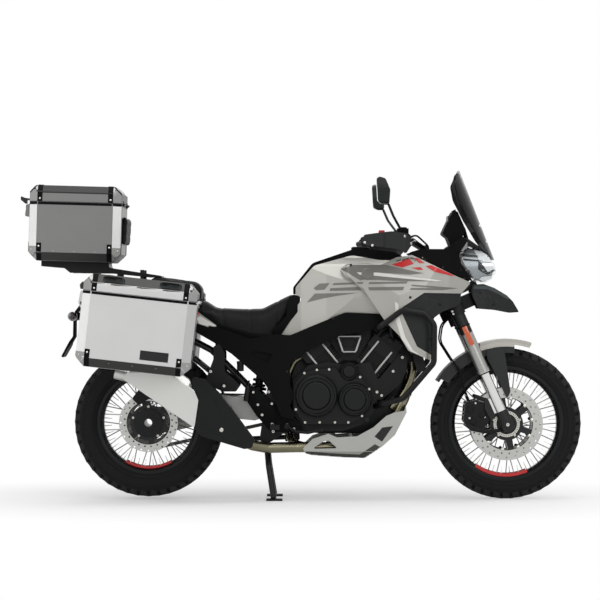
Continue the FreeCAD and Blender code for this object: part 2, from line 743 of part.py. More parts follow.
def engine_top():
    node("cylinders", gather(finned_cylinder(-CYLINDER_ANGLE), finned_cylinder(CYLINDER_ANGLE)))
    frame = plate("side", [(158, 712, 8), (262, 712, 8), (240, 640, 6), (180, 640, 6)], -112, -90)
    opening = plate("side", [(174, 700, 6), (246, 700, 6), (231, 662, 4), (189, 662, 4)], -113, -96)
    body = plate("side", [(166, 700), (252, 700), (236, 640), (184, 640)], -90, 60)
    trunk = rod((CRANK.x, 0, 586), (CRANK.x, 0, 660), 24)
    throttles = plate("side", [(110, 768, 10), (310, 768, 10), (300, 700, 10), (240, 606), (180, 606),
                               (120, 700, 10)], -70, 70)
    node("intake_body", join(cut(frame, opening), body, trunk, throttles))


def exhaust():
    """Two header pipes that meet below the crankcase, the link pipe and the muffler."""
    front = tube([(400, -20, 640), (446, -30, 612), (478, -40, 560), (452, -70, 440), (380, -88, 300),
                  (290, -95, 236), (60, -118, 231)], 21, 60)
    rear = tube([(40, -30, 640), (-30, -40, 600), (-55, -45, 540), (-55, -60, 300), (-40, -92, 250),
                 (20, -116, 233)], 17, 45)
    link_route = [(66, -118, 231), (-20, -124, 231), (-150, -175, 231), (-215, -212, 245),
                  (-270, -222, 290), (-380, -228, 370), (-462, -228, 412)]
    link = tube(link_route, 23, 40)
    node("exhaust_pipes", join(front, rear, link))
    outline = [(-765, 532, 10), (-744, 559, 12), (-501, 556, 20), (-469, 510, 20), (-439, 440, 20),
               (-456, 322, 6)]
    section = octagon((-282, -110), (-172, 130), (34, 10, 10, 26))
    sleeve = plate("front", section, -400, 400, 6)
    sleeve.Placement = FreeCAD.Placement(
        vec(-600, 0, 452), FreeCAD.Rotation(vec(0, 1, 0), 34)).multiply(sleeve.Placement)
    shell = common(plate("side", outline, -300, -150), sleeve)
    tail = pipe((-740, -226, 543), (-800, -226, 556), 26, 23)
    node("muffler", join(shell, tail))
    guard = [(-466, 538, 8), (-409, 527, 20), (-344, 462, 40), (-263, 355, 40), (-199, 268, 14),
             (-210, 236, 12), (-242, 231, 20), (-350, 263, 40), (-425, 285, 30), (-453, 317, 4),
             (-436, 441, 10), (-466, 511, 6)]
    pipe_room = tube(link_route, 23 + size("fit_gap"), 40)
    node("muffler_guard", cut(plate("side", guard, -286, -180), pipe_room))


def cooling():
    core = block((0, -150, 0), (34, 150, 226))
    tanks = [block((-4, y - 9, -6), (38, y + 9, 232)) for y in (-150, 150)]
    whole = join(core, *tanks)
    whole.Placement = FreeCAD.Placement(vec(505, 0, 562), FreeCAD.Rotation(vec(0, 1, 0), -14))
    node("radiator", gather(whole))


# ---------------------------------------------------------------- frame and running gear
def main_frame():
    """Steel frame: steering head, main beams, pivot plates, seat rails and the front stay."""
    head_low = STEER_BASE + STEER_UP * HEAD_LOW
    head_high = STEER_BASE + STEER_UP * HEAD_HIGH
    head = rod(tuple(head_low), tuple(head_high), 34)
    head_bore = rod(tuple(head_low - STEER_UP * 9), tuple(head_high + STEER_UP * 9), "Sizes.head_bore_radius")
    beam = tube([(600, 20, 850), (520, 105, 820), (380, 122, 768), (60, 122, 730), (-80, 118, 620),
                 (-106, 110, 480)], 17, 60)
    pivot = plate("side", [(-140, 520, 12), (-60, 540, 12), (-36, 470, 6), (-36, 440, 6), (-50, 400, 14),
                           (-60, 300, 14), (-150, 240, 14), (-180, 260, 14), (-160, 400, 14)], 98, 112)
    rail = tube([(-40, 100, 690), (-330, 92, 770), (-820, 84, 880)], 12, 60)
    brace = tube([(-100, 105, 520), (-330, 95, 690), (-600, 88, 815)], 10, 60)
    head_hanger = rod((388, 100, 768), (400, 84, 690), 12)
    tank_mount = rod((330, 60, 752), (330, 60, 812.5), 12)
    side = join(beam, pivot, rail, brace, head_hanger, tank_mount)
    crossbars = [rod((x, -reach, z), (x, reach, z), 11)
                 for x, z, reach in ((-130, 500, 100), (-150, 719, 92), (330, 762, 112),
                                     (-500, 792, 86), (-815, 869.8, 84))]
    stay_root = STEER_BASE + STEER_UP * 612 + STEER_FORWARD * 26
    stay_tip = vec(768, 0, 944)
    stay = block((0, -20, -16), ((stay_tip - stay_root).Length, 20, 16))
    stay.Placement = FreeCAD.Placement(
        stay_root, FreeCAD.Rotation(vec(1, 0, 0), stay_tip - stay_root)).multiply(stay.Placement)
    stand_bracket = plate("side", [(-70, 300, 6), (-6, 284, 10), (-4, 250, 10), (-70, 244, 6)], 98, 111)
    stand_pin = rod(tuple(SIDE_STAND_PIVOT - SIDE_STAND_AXIS * 24),
                    tuple(SIDE_STAND_PIVOT + SIDE_STAND_AXIS * 13), 8)
    x, z = SWINGARM_PIVOT.x, SWINGARM_PIVOT.z
    pivot_bore = rod((x, -150, z), (x, 150, z), 11.5)
    body = cut(join(head, side, mirror(side), stand_bracket, stand_pin, stay, *crossbars),
               head_bore, pivot_bore)
    engine_mount = plate("side", [(318, 528), (340, 528), (430, 636, 8), (462, 622, 10), (458, 560, 20),
                                  (428, 500, 20), (350, 436, 14), (318, 436)], -118, -108)
    shaft = rod((x, -118, z), (x, 118, z), 11.6)
    node("main_frame", join(body, shaft, engine_mount, mirror(engine_mount)))


def swingarm():
    """Single-sided swinging arm on the left, with a short right stay for the rear caliper."""
    reach = 97.7
    x, z = SWINGARM_PIVOT.x, SWINGARM_PIVOT.z
    pivot = rod((x, -reach, z), (x, reach, z), 30)
    bridge = plate("side", [(-106, 437, 10), (-240, 452, 20), (-318, 440, 20), (-310, 392, 20),
                            (-270, 352, 16), (-200, 345, 20), (-106, 377, 10)], -95, 95)
    arm = plate("side", [(-190, 437, 20), (-330, 450, 40), (-520, 400, 60), (-640, 398, 40), (-720, 372, 40),
                         (-724, 310, 40), (-660, 272, 40), (-520, 300, 60), (-320, 350, 60), (-190, 377, 20)],
                 84, 112)
    hub = rod((REAR_AXLE.x, 80, REAR_AXLE.z), (REAR_AXLE.x, 112, REAR_AXLE.z), 64)
    bearing = rod((REAR_AXLE.x, 60, REAR_AXLE.z), (REAR_AXLE.x, 140, REAR_AXLE.z), 30.5)
    wheel_room = rod((REAR_AXLE.x, -110, REAR_AXLE.z), (REAR_AXLE.x, 79, REAR_AXLE.z),
                     size("rear_tyre_radius") + 10)
    shaft_bore = rod((x, -110, z), (x, 110, z), 11.9)
    stay = plate("side", [(-240, 440, 12), (-420, 470, 40), (-660, 486, 20), (-668, 458, 12),
                          (-430, 430, 40), (-260, 400, 12)], -95, -86)
    node("swingarm", join(cut(join(pivot, bridge, arm, hub), bearing, wheel_room, shaft_bore), stay))
    caliper = plate("side", [(-735, 440, 12), (-700, 486, 12), (-630, 492, 12), (-600, 470, 10),
                             (-612, 430, 10), (-660, 440, 20), (-705, 412, 10)], -104, -52)
    slot = rod((REAR_AXLE.x, -86, REAR_AXLE.z), (REAR_AXLE.x, -69, REAR_AXLE.z),
               size("rear_disc_radius") + size("running_gap"))
    node("rear_caliper", cut(caliper, slot))


def rear_suspension():
    """Damper with its coil spring, between the swinging arm's bridge and a frame crossbar."""
    low, high = vec(-192, 0, 449), vec(-152, 0, 709)
    up = (high - low).normalize()

    def along(distance):
        return tuple(low + up * distance)
    damper = rod(along(0), along((high - low).Length), 17)
    seats = [rod(along(start), along(start + 12), 36) for start in (28, 206)]
    coils = []
    for index in range(8):
        ring = add("Part::Torus", "Coil")
        ring.Radius1 = 23
        ring.Radius2 = 6.5
        ring.Placement = FreeCAD.Placement(
            low + up * (48 + 21.5 * index), FreeCAD.Rotation(vec(0, 0, 1), up))
        coils.append(ring)
    node("shock_absorber", join(damper, *seats, *coils))


def stands():
    """Centre stand, down, with the motorcycle's weight on it, and the folded side stand."""
    x, z = CENTRE_STAND_PIVOT.x, CENTRE_STAND_PIVOT.z
    leg = tube([(x + 2, 62, z - 8), (-140, 110, 150), (-118, 142, 12)], 13, 60)
    foot = block((-150, 120, 0), (-80, 164, 10))
    pivot = rod((x, -97.7, z), (x, 97.7, z), 15)
    cross = rod((-137, -118, 130), (-137, 118, 130), 10)
    node("centre_stand", join(leg, mirror(leg), foot, mirror(foot), pivot, cross))
    pivot, axis = SIDE_STAND_PIVOT, SIDE_STAND_AXIS
    knuckle = pipe(tuple(pivot - axis * 8), tuple(pivot + axis * 10), 16, 8 + size("fit_gap"))
    leg = rod(tuple(pivot + SIDE_STAND_FOLDED * 12), tuple(pivot + SIDE_STAND_FOLDED * 222), 11)
    foot = block((-262, 136, 238), (-244, 184, 266))
    node("side_stand", join(knuckle, leg, foot))


# ---------------------------------------------------------------- bodywork
def tank_and_covers():
    side = [(8, 876, 20), (-23, 894, 6), (-23, 925, 20), (57, 1018, 40), (223, 1064, 60), (341, 1043, 40),
            (440, 1040, 20), (470, 900, 30), (363, 808, 20), (192, 815, 40), (138, 794, 30), (42, 754, 40),
            (-47, 716, 30), (-81, 719, 8), (-105, 730, 4)]
    front = symmetric_front([(0, 1100), (62, 1100), (66, 1056, 20), (130, 1024, 40), (180, 950, 60),
                             (186, 880, 60), (160, 780, 50), (146, 700), (0, 700)])
    plan = symmetric([(-110, 0), (-110, 112), (0, 128, 60), (110, 160, 80), (250, 190, 90), (480, 190),
                      (480, 0)])
    tank = common(plate("side", side, -220, 220), plate("front", front, -200, 600),
                  plate("plan", plan, 600, 1200))
    tunnel = block((-200, -106, 600), (640, 106, 812))
    node("fuel_tank", cut(tank, tunnel))
    spine_side = [(-34, 894, 4), (-34, 925, 20), (50, 1030, 40), (225, 1090, 60), (308, 1090, 30),
                  (406, 1079, 30), (441, 1062, 6), (440, 1034), (341, 1037), (223, 1056), (57, 1008),
                  (-15, 922), (-15, 894)]
    spine_plan = symmetric([(-40, 0), (-40, 40, 10), (60, 60, 60), (330, 60, 60), (445, 40, 10), (445, 0)])
    cap = turned([(0, 0), (42, 0), (42, 12, 3), (36, 16, 4), (0, 16)], vec(262, 0, 1086), vec(0, 0, 1))
    node("tank_spine", join(
        common(plate("side", spine_side, -70, 70), plate("plan", spine_plan, 800, 1200)), cap))


FAIRING_OUTER = ((168, 193), (300, 218), (420, 236), (540, 226), (640, 190), (745, 128))


def panel(side_points, thickness, inset=0.0, radius=8.0):
    """A right-hand body panel: its side outline, cut from a shell that follows the fairing."""
    layers = []
    for depth in (inset, inset + thickness):
        outline = [(x, -(y - depth), 60) for x, y in FAIRING_OUTER] + [(745, -20), (168, -20)]
        flank = [(-20, 500), (-(240 - depth), 500), (-(240 - depth), 870, 120),
                 (-(200 - depth), 1050, 60), (-(194 - depth), 1090), (-20, 1090)]
        layers.append(common(plate("plan", outline, 500, 1150), plate("front", flank, 100, 800)))
    return common(plate("side", side_points, -300, -60, radius), cut(*layers))


def fairings():
    side = [(172, 1004), (218, 1022, 20), (347, 1022, 30), (411, 1053, 20), (479, 1063, 14), (642, 985, 30),
            (737, 944, 6), (694, 897, 8), (530, 900, 10), (430, 834, 10), (437, 805, 10), (499, 669, 12),
            (561, 632, 6), (559, 608, 6), (462, 651, 16), (425, 713, 20), (362, 778, 20), (280, 900, 60)]
    mount = rod((400, -165, 900), (400, -222, 900), 13)
    node("fairings", both_sides(join(panel(side, 22, radius=0), mount)))
    shroud = [(432, 840), (531, 902, 8), (693, 899, 8), (690, 849, 20), (611, 819, 20), (573, 792, 20),
              (564, 761, 20), (564, 628, 6), (494, 666, 12), (434, 803, 12)]
    node("radiator_shrouds", both_sides(panel(shroud, 14, inset=6, radius=0)))


def nose():
    beak_side = [(749, 936, 8), (794, 939, 14), (842, 922, 30), (898, 890, 30), (926, 863, 20), (955, 816, 4),
                 (912, 813, 20), (849, 825, 30), (764, 832, 14), (742, 856, 14), (736, 900, 10)]
    beak_plan = symmetric([(730, 0), (730, 92, 20), (800, 84, 40), (900, 48, 40), (958, 16, 10), (958, 0)])
    beak = common(plate("side", beak_side, -100, 100), plate("plan", beak_plan, 700, 1000))
    scoop = plate("side", [(744, 905), (820, 892, 10), (850, 860, 10), (760, 850)], -60, 60)
    steering_room = rod(tuple(STEER_BASE + STEER_UP * 500), tuple(STEER_BASE + STEER_UP * 760), 151)
    node("beak", cut(beak, scoop, steering_room))
    lamp_side = [(732, 1105, 14), (704, 1091, 14), (690, 1050, 10), (696, 1025, 8), (752, 949, 6),
                 (801, 940, 14), (829, 956, 16), (849, 991, 24), (835, 1043, 40), (787, 1084, 30)]
    lamp_front = symmetric_front([(0, 1110), (44, 1108, 20), (104, 1070, 24), (118, 1010, 30),
                                  (84, 946, 16), (0, 936)])
    node("headlight", common(plate("side", lamp_side, -130, 130), plate("front", lamp_front, 600, 900)))
    cowl_side = [(463, 1073, 4), (517, 1089, 10), (627, 1089, 10), (641, 1102, 10), (702, 1143, 6),
                 (712, 1123, 8), (688, 1047, 8), (694, 1024, 8), (750, 947, 4), (646, 988, 4), (483, 1066, 4)]
    cowl_plan = [(463, -208, 10), (545, -203, 50), (642, -174, 40), (755, -108, 10), (755, -94, 10),
                 (640, -150, 40), (545, -181, 50), (463, -188, 10)]
    side = common(plate("side", cowl_side, -220, -80), plate("plan", cowl_plan, 900, 1200))
    inner_side = plate("side", [(408, 1040), (478, 1052), (642, 974), (700, 946), (700, 940), (640, 967),
                                (477, 1045), (408, 1033)], -230, -140)
    inner_plan = plate("plan", [(408, -152), (640, -150), (700, -124), (712, -140), (640, -178), (540, -206),
                                (480, -204), (408, -206)], 900, 1100)
    inner_panel = common(inner_side, inner_plan)
    cross = plate("side", [(636, 1098), (702, 1144), (722, 1122), (722, 1092), (700, 1076), (660, 1080)],
                  -160, 160)
    dash = plate("side", [(660, 1257, 8), (613, 1158, 10), (636, 1140, 10), (650, 1104, 6), (700, 1138, 6),
                          (716, 1174, 8), (695, 1222, 10), (681, 1253, 8)], -104, 104)
    node("cockpit_cowl", join(side, mirror(side), inner_panel, mirror(inner_panel), cross, dash))


def windscreen():
    """Screen bent to an arc, leaning back, and cut to its rounded outline."""
    outer, thickness = 240.0, 4.0
    half_angle = math.asin(166 / outer)
    centre_x = 847 - outer

    def rim_point(radius, angle):
        return vec(centre_x + radius * math.cos(angle), radius * math.sin(angle), 0)
    edges = [
        Part.Arc(rim_point(outer, -half_angle), rim_point(outer, 0), rim_point(outer, half_angle)),
        Part.LineSegment(rim_point(outer, half_angle), rim_point(outer - thickness, half_angle)),
        Part.Arc(rim_point(outer - thickness, half_angle), rim_point(outer - thickness, 0),
                 rim_point(outer - thickness, -half_angle)),
        Part.LineSegment(rim_point(outer - thickness, -half_angle), rim_point(outer, -half_angle))]
    sheet = add("Part::Extrusion", "Extrusion")
    sheet.Base = sketch_on("plan", 1044, edges)
    sheet.DirMode = "Custom"
    sheet.Dir = vec(-153, 0, 391)
    sheet.LengthFwd = 430
    sheet.Solid = True
    outline = symmetric_front([(0, 1436), (40, 1434, 20), (95, 1418, 30), (150, 1372, 40), (163, 1310, 60),
                               (152, 1220, 60), (130, 1130, 60), (96, 1062, 20), (80, 1044), (0, 1044)])
    node("windscreen", common(sheet, plate("front", outline, 500, 900)))


def seats():
    side = [(-31, 897, 8), (-111, 856, 60), (-166, 828, 40), (-250, 826, 60), (-369, 831, 40),
            (-418, 863, 14), (-426, 870, 4), (-455, 826, 10), (-359, 756, 20), (-225, 708, 30),
            (-109, 692, 20), (-98, 728, 4),
            (2, 874, 10)]
    plan = symmetric([(-460, 0), (-460, 138, 40), (-330, 150, 60), (-180, 140, 60), (-60, 104, 60),
                      (10, 76, 20), (10, 0)])
    front = symmetric_front([(0, 905), (60, 905), (128, 860, 40), (150, 780, 40), (146, 680), (0, 680)])
    solid = common(plate("side", side, -160, 160), plate("plan", plan, 600, 1000),
                   plate("front", front, -500, 50))
    tunnel = plate("side", [(-470, 814), (-330, 783), (-40, 703), (60, 703), (60, 600), (-470, 600)],
                   -118, 118)
    node("rider_seat", cut(solid, tunnel))
    pillion = [(-660, 966, 12), (-592, 964, 30), (-442, 943, 20), (-424, 920, 20), (-428, 868, 6),
               (-458, 838, 10), (-600, 866, 20), (-664, 880, 10)]
    pillion_plan = symmetric([(-664, 0), (-664, 110, 30), (-600, 128, 80), (-480, 136, 40), (-420, 124, 20),
                              (-420, 0)])
    node("pillion_seat", common(plate("side", pillion, -150, 150), plate("plan", pillion_plan, 800, 1050)))


def side_covers():
    """Black covers over the frame beams, with the arm down to the foot-peg plate."""
    outline = [(363, 807, 6), (196, 814, 30), (140, 793, 30), (46, 753, 30), (-43, 715, 20), (-104, 722, 10),
               (-220, 702, 20), (-353, 750, 10), (-459, 767, 6), (-473, 740, 6), (-377, 685, 20),
               (-300, 636, 10), (-167, 522, 20), (-123, 457, 30), (-85, 364, 10), (-20, 350, 12),
               (-47, 413, 30), (-47, 590, 20), (28, 651, 30), (165, 713, 30), (363, 754, 6)]
    vent = plate("side", [(-224, 640, 4), (-197, 648, 4), (-122, 636, 6), (-146, 595, 4)], -190, -164)
    cover = cut(plate("side", outline, -178, -139.3), vent)
    shaped = common(cover, plate("plan", [(-480, -150, 10), (-300, -162, 60), (-100, -178, 60),
                                          (200, -178, 60), (365, -172), (365, -139), (-480, -139)], 300, 900))
    bar_room = crash_bars(size("crash_bar_radius") + size("fit_gap"))
    node("frame_covers", cut(both_sides(shaped), bar_room))


RACK_STRUT_RADIUS = 9


def rack_struts(radius):
    return both_sides(gather(rod((-690, 88, 851), (-690, 92, 1000), radius),
                             rod((-790, 88, 874), (-790, 92, 1000), radius)))


def tail():
    side = [(-358, 754, 4), (-423, 800, 10), (-457, 827, 6), (-600, 862, 20), (-840, 910, 10),
            (-900, 916, 10), (-910, 880, 10), (-700, 830, 30), (-475, 776, 4), (-462, 772, 4), (-402, 752, 6)]
    plan = [(-910, -88, 10), (-700, -126, 60), (-500, -150, 60), (-350, -158), (-350, -146), (-500, -134, 60),
            (-700, -112, 60), (-910, -76, 10)]
    deck = plate("side", [(-665, 879), (-840, 912, 6), (-902, 918, 6), (-902, 908, 4), (-840, 900),
                          (-665, 868)], -110, 110)
    deck_plan = plate("plan", symmetric([(-905, 0), (-905, 84), (-700, 120, 60), (-600, 130), (-600, 0)]),
                      700, 1000)
    flank = common(plate("side", side, -200, -60), plate("plan", plan, 700, 1000))
    strut_room = rack_struts(RACK_STRUT_RADIUS + size("fit_gap"))
    node("tail_cowl", cut(join(flank, mirror(flank), common(deck, deck_plan)), strut_room))
    lamp = plate("side", [(-894, 925, 6), (-935, 920, 8), (-930, 880, 8), (-894, 878, 6)], -72, 72)
    blinker = rod((-990, 30, 798), (-990, 120, 798), 5.5)
    lens = turned([(0, 118), (16, 118), (20, 150, 8), (0, 166)], vec(-990, 0, 798))
    node("rear_lights", gather(lamp, both_sides(join(blinker, lens))))
    tray = plate("side", [(-340, 740), (-830, 862), (-905, 878), (-965, 848), (-994, 812), (-996, 712),
                          (-1043, 624), (-1036, 619), (-985, 708), (-984, 804), (-958, 834), (-902, 856),
                          (-830, 842), (-340, 725)], -90, 90)
    outline = [(-340, 40, 10), (-820, 62, 10), (-960, 62, 10), (-980, 38), (-1000, 38), (-1008, 88, 8),
               (-1050, 88, 8), (-1050, 0)]
    node("plate_holder", common(tray, plate("plan", symmetric(outline), 600, 900)))


# ---------------------------------------------------------------- luggage
PANNIER_MIDDLE = vec(-677.5, 0, 885.5)
PANNIER_TILT = 6.3
TOP_BOX_MIDDLE = vec(-971, 0, 1289.5)
TOP_BOX_TILT = 1.6


def octagon(low, high, bevels):
    """Rectangle with its corners bevelled: low-low, high-low, high-high and low-high."""
    (x0, y0), (x1, y1) = low, high
    a, b, c, d = bevels
    points = [(x0, y0 + a), (x0 + a, y0), (x1 - b, y0), (x1, y0 + b),
              (x1, y1 - c), (x1 - c, y1), (x0 + d, y1), (x0, y1 - d)]
    return [p for index, p in enumerate(points) if p != points[index - 1]]


def bevelled_box(low, high, outer, inner, bottom, top, width):
    """Box with bevelled edges: those on the low-Y side, the high-Y side, the bottom and the top."""
    (x0, y0, z0), (x1, y1, z1) = low, high
    side = octagon((x0, z0), (x1, z1), (bottom, bottom, top, top))
    front = octagon((y0, z0), (y1, z1), (min(bottom, outer), min(bottom, inner),
                                         min(top, inner), min(top, outer)))
    plan = octagon((x0, y0), (x1, y1), (outer, outer, inner, inner))
    return common(plate("side", side, y0, y1, 0, width), plate("front", front, x0, x1),
                  plate("plan", plan, z0, z1))


def case_shell(low, high, edges, width, open_top):
    """Hollow bevelled case, open at its top or, for a lid, at its bottom."""
    wall = size("case_wall")
    less = wall * (2 - math.sqrt(2))
    outer = bevelled_box(low, high, *edges, width)
    inner_low = [value + wall for value in low]
    inner_high = [value - wall for value in high]
    if open_top:
        inner_high[2] = high[2] + 5
    else:
        inner_low[2] = low[2] - 5
    inner = bevelled_box(inner_low, inner_high, *[max(edge - less, 0) for edge in edges],
                         width + " - 2 * Sizes.case_wall")
    return cut(outer, inner)


def hinge_leaf(x, spans, pin_span=None):
    """Knuckles of a lid hinge on the line (x, z 0), the body's with the pin in them."""
    knuckles = []
    for low, high in spans:
        leaf = block((x - 12, low, -14 if pin_span else 2), (x - 3, high, -2 if pin_span else 14))
        barrel = rod((x, low, 0), (x, high, 0), 5.7)
        bore = rod((x, low - 1, 0), (x, high + 1, 0), 3 + size("fit_gap"))
        knuckles.append(cut(join(leaf, barrel), bore))
    if pin_span:
        knuckles.append(rod((x, pin_span[0], 0), (x, pin_span[1], 0), 3))
    return knuckles


def placed(solid, middle, tilt):
    """A case modelled in its own frame, put in its place."""
    group = gather(solid)
    group.Placement = FreeCAD.Placement(middle, FreeCAD.Rotation(vec(0, 1, 0), tilt))
    return group


def panniers():
    """Bevelled aluminium cases, each with a hinged lid, two tie-down rings and a latch."""
    inner = size("pannier_inner")
    outer = inner + size("pannier_depth")
    half, bevel, seam = size("pannier_length") / 2, size("case_bevel"), size("fit_gap") + 0.2
    middle = -(inner + outer) / 2
    body = case_shell((-half, -outer, -size("pannier_body_height")), (half, -inner, 0),
                      (bevel, 12, bevel, 0), "Sizes.pannier_depth", True)
    lid = case_shell((-half, -outer, seam), (half, -inner, size("pannier_lid_height")),
                     (bevel, 12, 0, bevel), "Sizes.pannier_depth", False)
    latch = plate("side", [(-half + 1, -4), (-half - 12, -4, 3), (-half - 16, -50, 6), (-half - 6, -76, 4),
                           (-half + 1, -76)], middle - 32, middle + 32)
    catch = plate("side", [(-half + 1, 4), (-half - 14, 2, 3), (-half - 19, 20, 6), (-half - 10, 34, 6),
                           (-half + 1, 34)], middle - 24, middle + 24)
    rings = []
    edge_y, edge_z = -outer + bevel / 2, size("pannier_lid_height") - bevel / 2
    for x in (-115, 125):
        rings.append(tube([(x - 42, edge_y + 3, edge_z - 3), (x - 42, edge_y - 12, edge_z + 12),
                           (x + 42, edge_y - 12, edge_z + 12), (x + 42, edge_y + 3, edge_z - 3)], 4, 10))
    line = half + 6
    body_spans = [(middle + y - 12, middle + y + 12) for y in (-62, 62)]
    lid_spans = [(high + size("fit_gap"), high + 22) for low, high in body_spans]
    pins = [hinge_leaf(line, [span], (span[0], span[1] + 24)) for span in body_spans]
    body = join(body, latch, *[piece for group in pins for piece in group])
    lid = join(lid, catch, *rings, *hinge_leaf(line, lid_spans))
    for side_name, flip in (("right", False), ("left", True)):
        for part_name, solid in (("body", body), ("lid", lid)):
            whole = placed(mirror(solid) if flip else solid, PANNIER_MIDDLE, PANNIER_TILT)
            node("%s_pannier_%s" % (side_name, part_name), whole)


def top_box():
    half_width, half = size("top_box_width") / 2, size("top_box_length") / 2
    bevel, seam = size("case_bevel"), size("fit_gap") + 0.2
    body = case_shell((-half, -half_width, -size("top_box_body_height")), (half, half_width, 0),
                      (bevel, bevel, bevel - 2, 0), "Sizes.top_box_width", True)
    latch = plate("side", [(-half + 1, -4), (-half - 30, -9, 4), (-half - 34, -60, 4), (-half + 1, -64)],
                  -30, 30)
    lid = case_shell((-half, -half_width, seam), (half, half_width, size("top_box_lid_height")),
                     (bevel, bevel, 0, bevel - 10), "Sizes.top_box_width", False)
    catch = plate("side", [(-half + 1, 15), (-half - 42, 21, 6), (-half - 55.4, 29, 6), (-half - 55.4, 11, 6),
                           (-half - 36, -5, 4), (-half - 30.5, -5), (-half - 30, 10)], -28, 28)
    line = half + 6
    body_spans = [(y - 14, y + 14) for y in (-120, 120)]
    lid_spans = [(high + size("fit_gap"), high + 24) for low, high in body_spans]
    pins = [hinge_leaf(line, [span], (span[0], span[1] + 26)) for span in body_spans]
    body = join(body, latch, *[piece for group in pins for piece in group])
    lid = join(lid, catch, *hinge_leaf(line, lid_spans))
    pad = plate("side", [(half + size("fit_gap"), -50, 4), (half + 12, -50, 6), (half + 22, -64, 10),
                         (half + 18, -180, 10), (half + size("fit_gap"), -178, 4)], -150, 150)
    for label, solid in (("top_box_body", body), ("top_box_lid", lid), ("backrest_pad", pad)):
        node(label, placed(solid, TOP_BOX_MIDDLE, TOP_BOX_TILT))


def racks():
    """Rear rack below the top box, and the tube hoops that carry the panniers."""
    rack = plate("side", [(-1128, 1039.6), (-836, 1031.5), (-832, 1009, 8), (-606, 974, 12),
                          (-604, 968), (-664, 968), (-827, 985, 10), (-1003, 987, 10), (-1028, 1008, 10),
                          (-1128, 1016)], -105, 105)
    windows = [block((-1090 + 130 * i, -80, 900), (-985 + 130 * i, 80, 1100)) for i in range(3)]
    carrier = join(cut(rack, *windows), rack_struts(RACK_STRUT_RADIUS))
    hoop_y = size("pannier_inner") - 8.3
    hoop = tube([(-480, -hoop_y, 830), (-490, -hoop_y, 660), (-520, -hoop_y, 622), (-860, -hoop_y, 660),
                 (-880, -hoop_y, 700), (-868, -hoop_y, 860), (-830, -hoop_y, 880), (-520, -hoop_y, 836),
                 (-484, -hoop_y, 834)], 8, 30)
    stays = [tube([(x, -hoop_y, z), (x, -180, z), (x, -88, rail_z)], 7, 30)
             for x, z, rail_z in ((-500, 836, 808), (-815, 879, 879))]
    side = join(hoop, *stays)
    node("luggage_racks", gather(carrier, side, mirror(side)))


# ---------------------------------------------------------------- guards and controls
def skid_plate():
    outer = [(8, 228), (20, 205, 6), (44, 198, 10), (172, 188, 20), (276, 184, 20), (353, 237, 20),
             (407, 286, 20), (457, 384, 10), (454, 412), (446, 390, 4), (407, 384), (369, 368), (314, 319),
             (243, 280), (155, 275), (120, 291), (51, 269)]
    inner = [(0, 212), (20, 210.5, 6), (46, 203, 10), (172, 193, 20), (274, 189, 20), (350, 242, 20),
             (403, 290, 20), (452, 386), (450, 430), (0, 430)]
    shells = []
    for outline, half, drop in ((outer, 165, 0), (inner, 160, 5)):
        front = octagon((-half, 150), (half, 460), (64 + drop, 64 + drop, 0, 0))
        shells.append(common(plate("side", outline, -half, half), plate("front", front, -10, 480)))
    pan = cut(*shells)
    hole = plate("side", [(48, 226, 4), (98, 258, 4), (120, 262, 4), (158, 228, 4)], -170, 170)
    posts = [rod((x, y, 188), (x, y, 299.7), 9) for x in (120, 220) for y in (-40, 40)]
    node("skid_plate", join(cut(pan, hole), *posts))


def crash_bars(radius):
    side = tube([(322, -118, 742), (330, -248, 746), (435, -262, 826), (536, -262, 809), (572, -262, 762),
                 (570, -262, 600), (439, -252, 446), (350, -196, 421), (322, -112, 408)], radius, 38)
    return both_sides(side)


def foot_controls():
    """Foot-peg plates with the rider's pegs, the pedal and lever, and the pillion's pegs."""
    outline = [(-230, 480, 10), (-177, 456, 20), (-140, 403, 20), (-67, 374, 20), (-6, 333, 20),
               (-67, 288, 14), (-128, 301, 20), (-189, 374, 20)]
    side = join(plate("side", outline, -146, -138), rod((-100, -138, 372), (-100, -112, 372), 12),
                rod((-146, -138, 392), (-146, -112, 392), 8), rod((-112, -146, 322), (-112, -172, 322), 10),
                block((-132, -262, 312), (-92, -172, 332)))
    node("foot_pegs", both_sides(side))
    pedal = join(tube([(-60, -158, 322), (-20, -180, 300), (30, -190, 296), (88, -205, 310)], 6, 20),
                 rod((-60, -146.3, 322), (-60, -164, 322), 12), rod((88, -195, 310), (88, -235, 310), 8))
    lever = join(tube([(-60, 158, 322), (-20, 180, 300), (30, 190, 300), (70, 200, 316)], 6, 20),
                 rod((-60, 146.3, 322), (-60, 164, 322), 12), rod((70, 190, 316), (70, 225, 316), 8))
    node("foot_levers", gather(pedal, lever))
    bracket = plate("side", [(-379, 612, 10), (-412, 524, 10), (-400, 500, 10), (-338, 473, 12),
                             (-280, 473, 12), (-262, 500, 12), (-330, 560, 20), (-330, 640, 10),
                             (-352, 680, 8), (-378, 668, 8)], -160, -152)
    side = join(bracket, rod((-330, -156, 495), (-330, -240, 495), 11),
                rod((-362, -156, 654), (-362, -96, 720), 9))
    muffler_hanger = rod((-396, -156, 508), (-396, -179.7, 508), 9)
    node("pillion_pegs", gather(join(side, muffler_hanger), mirror(side)))


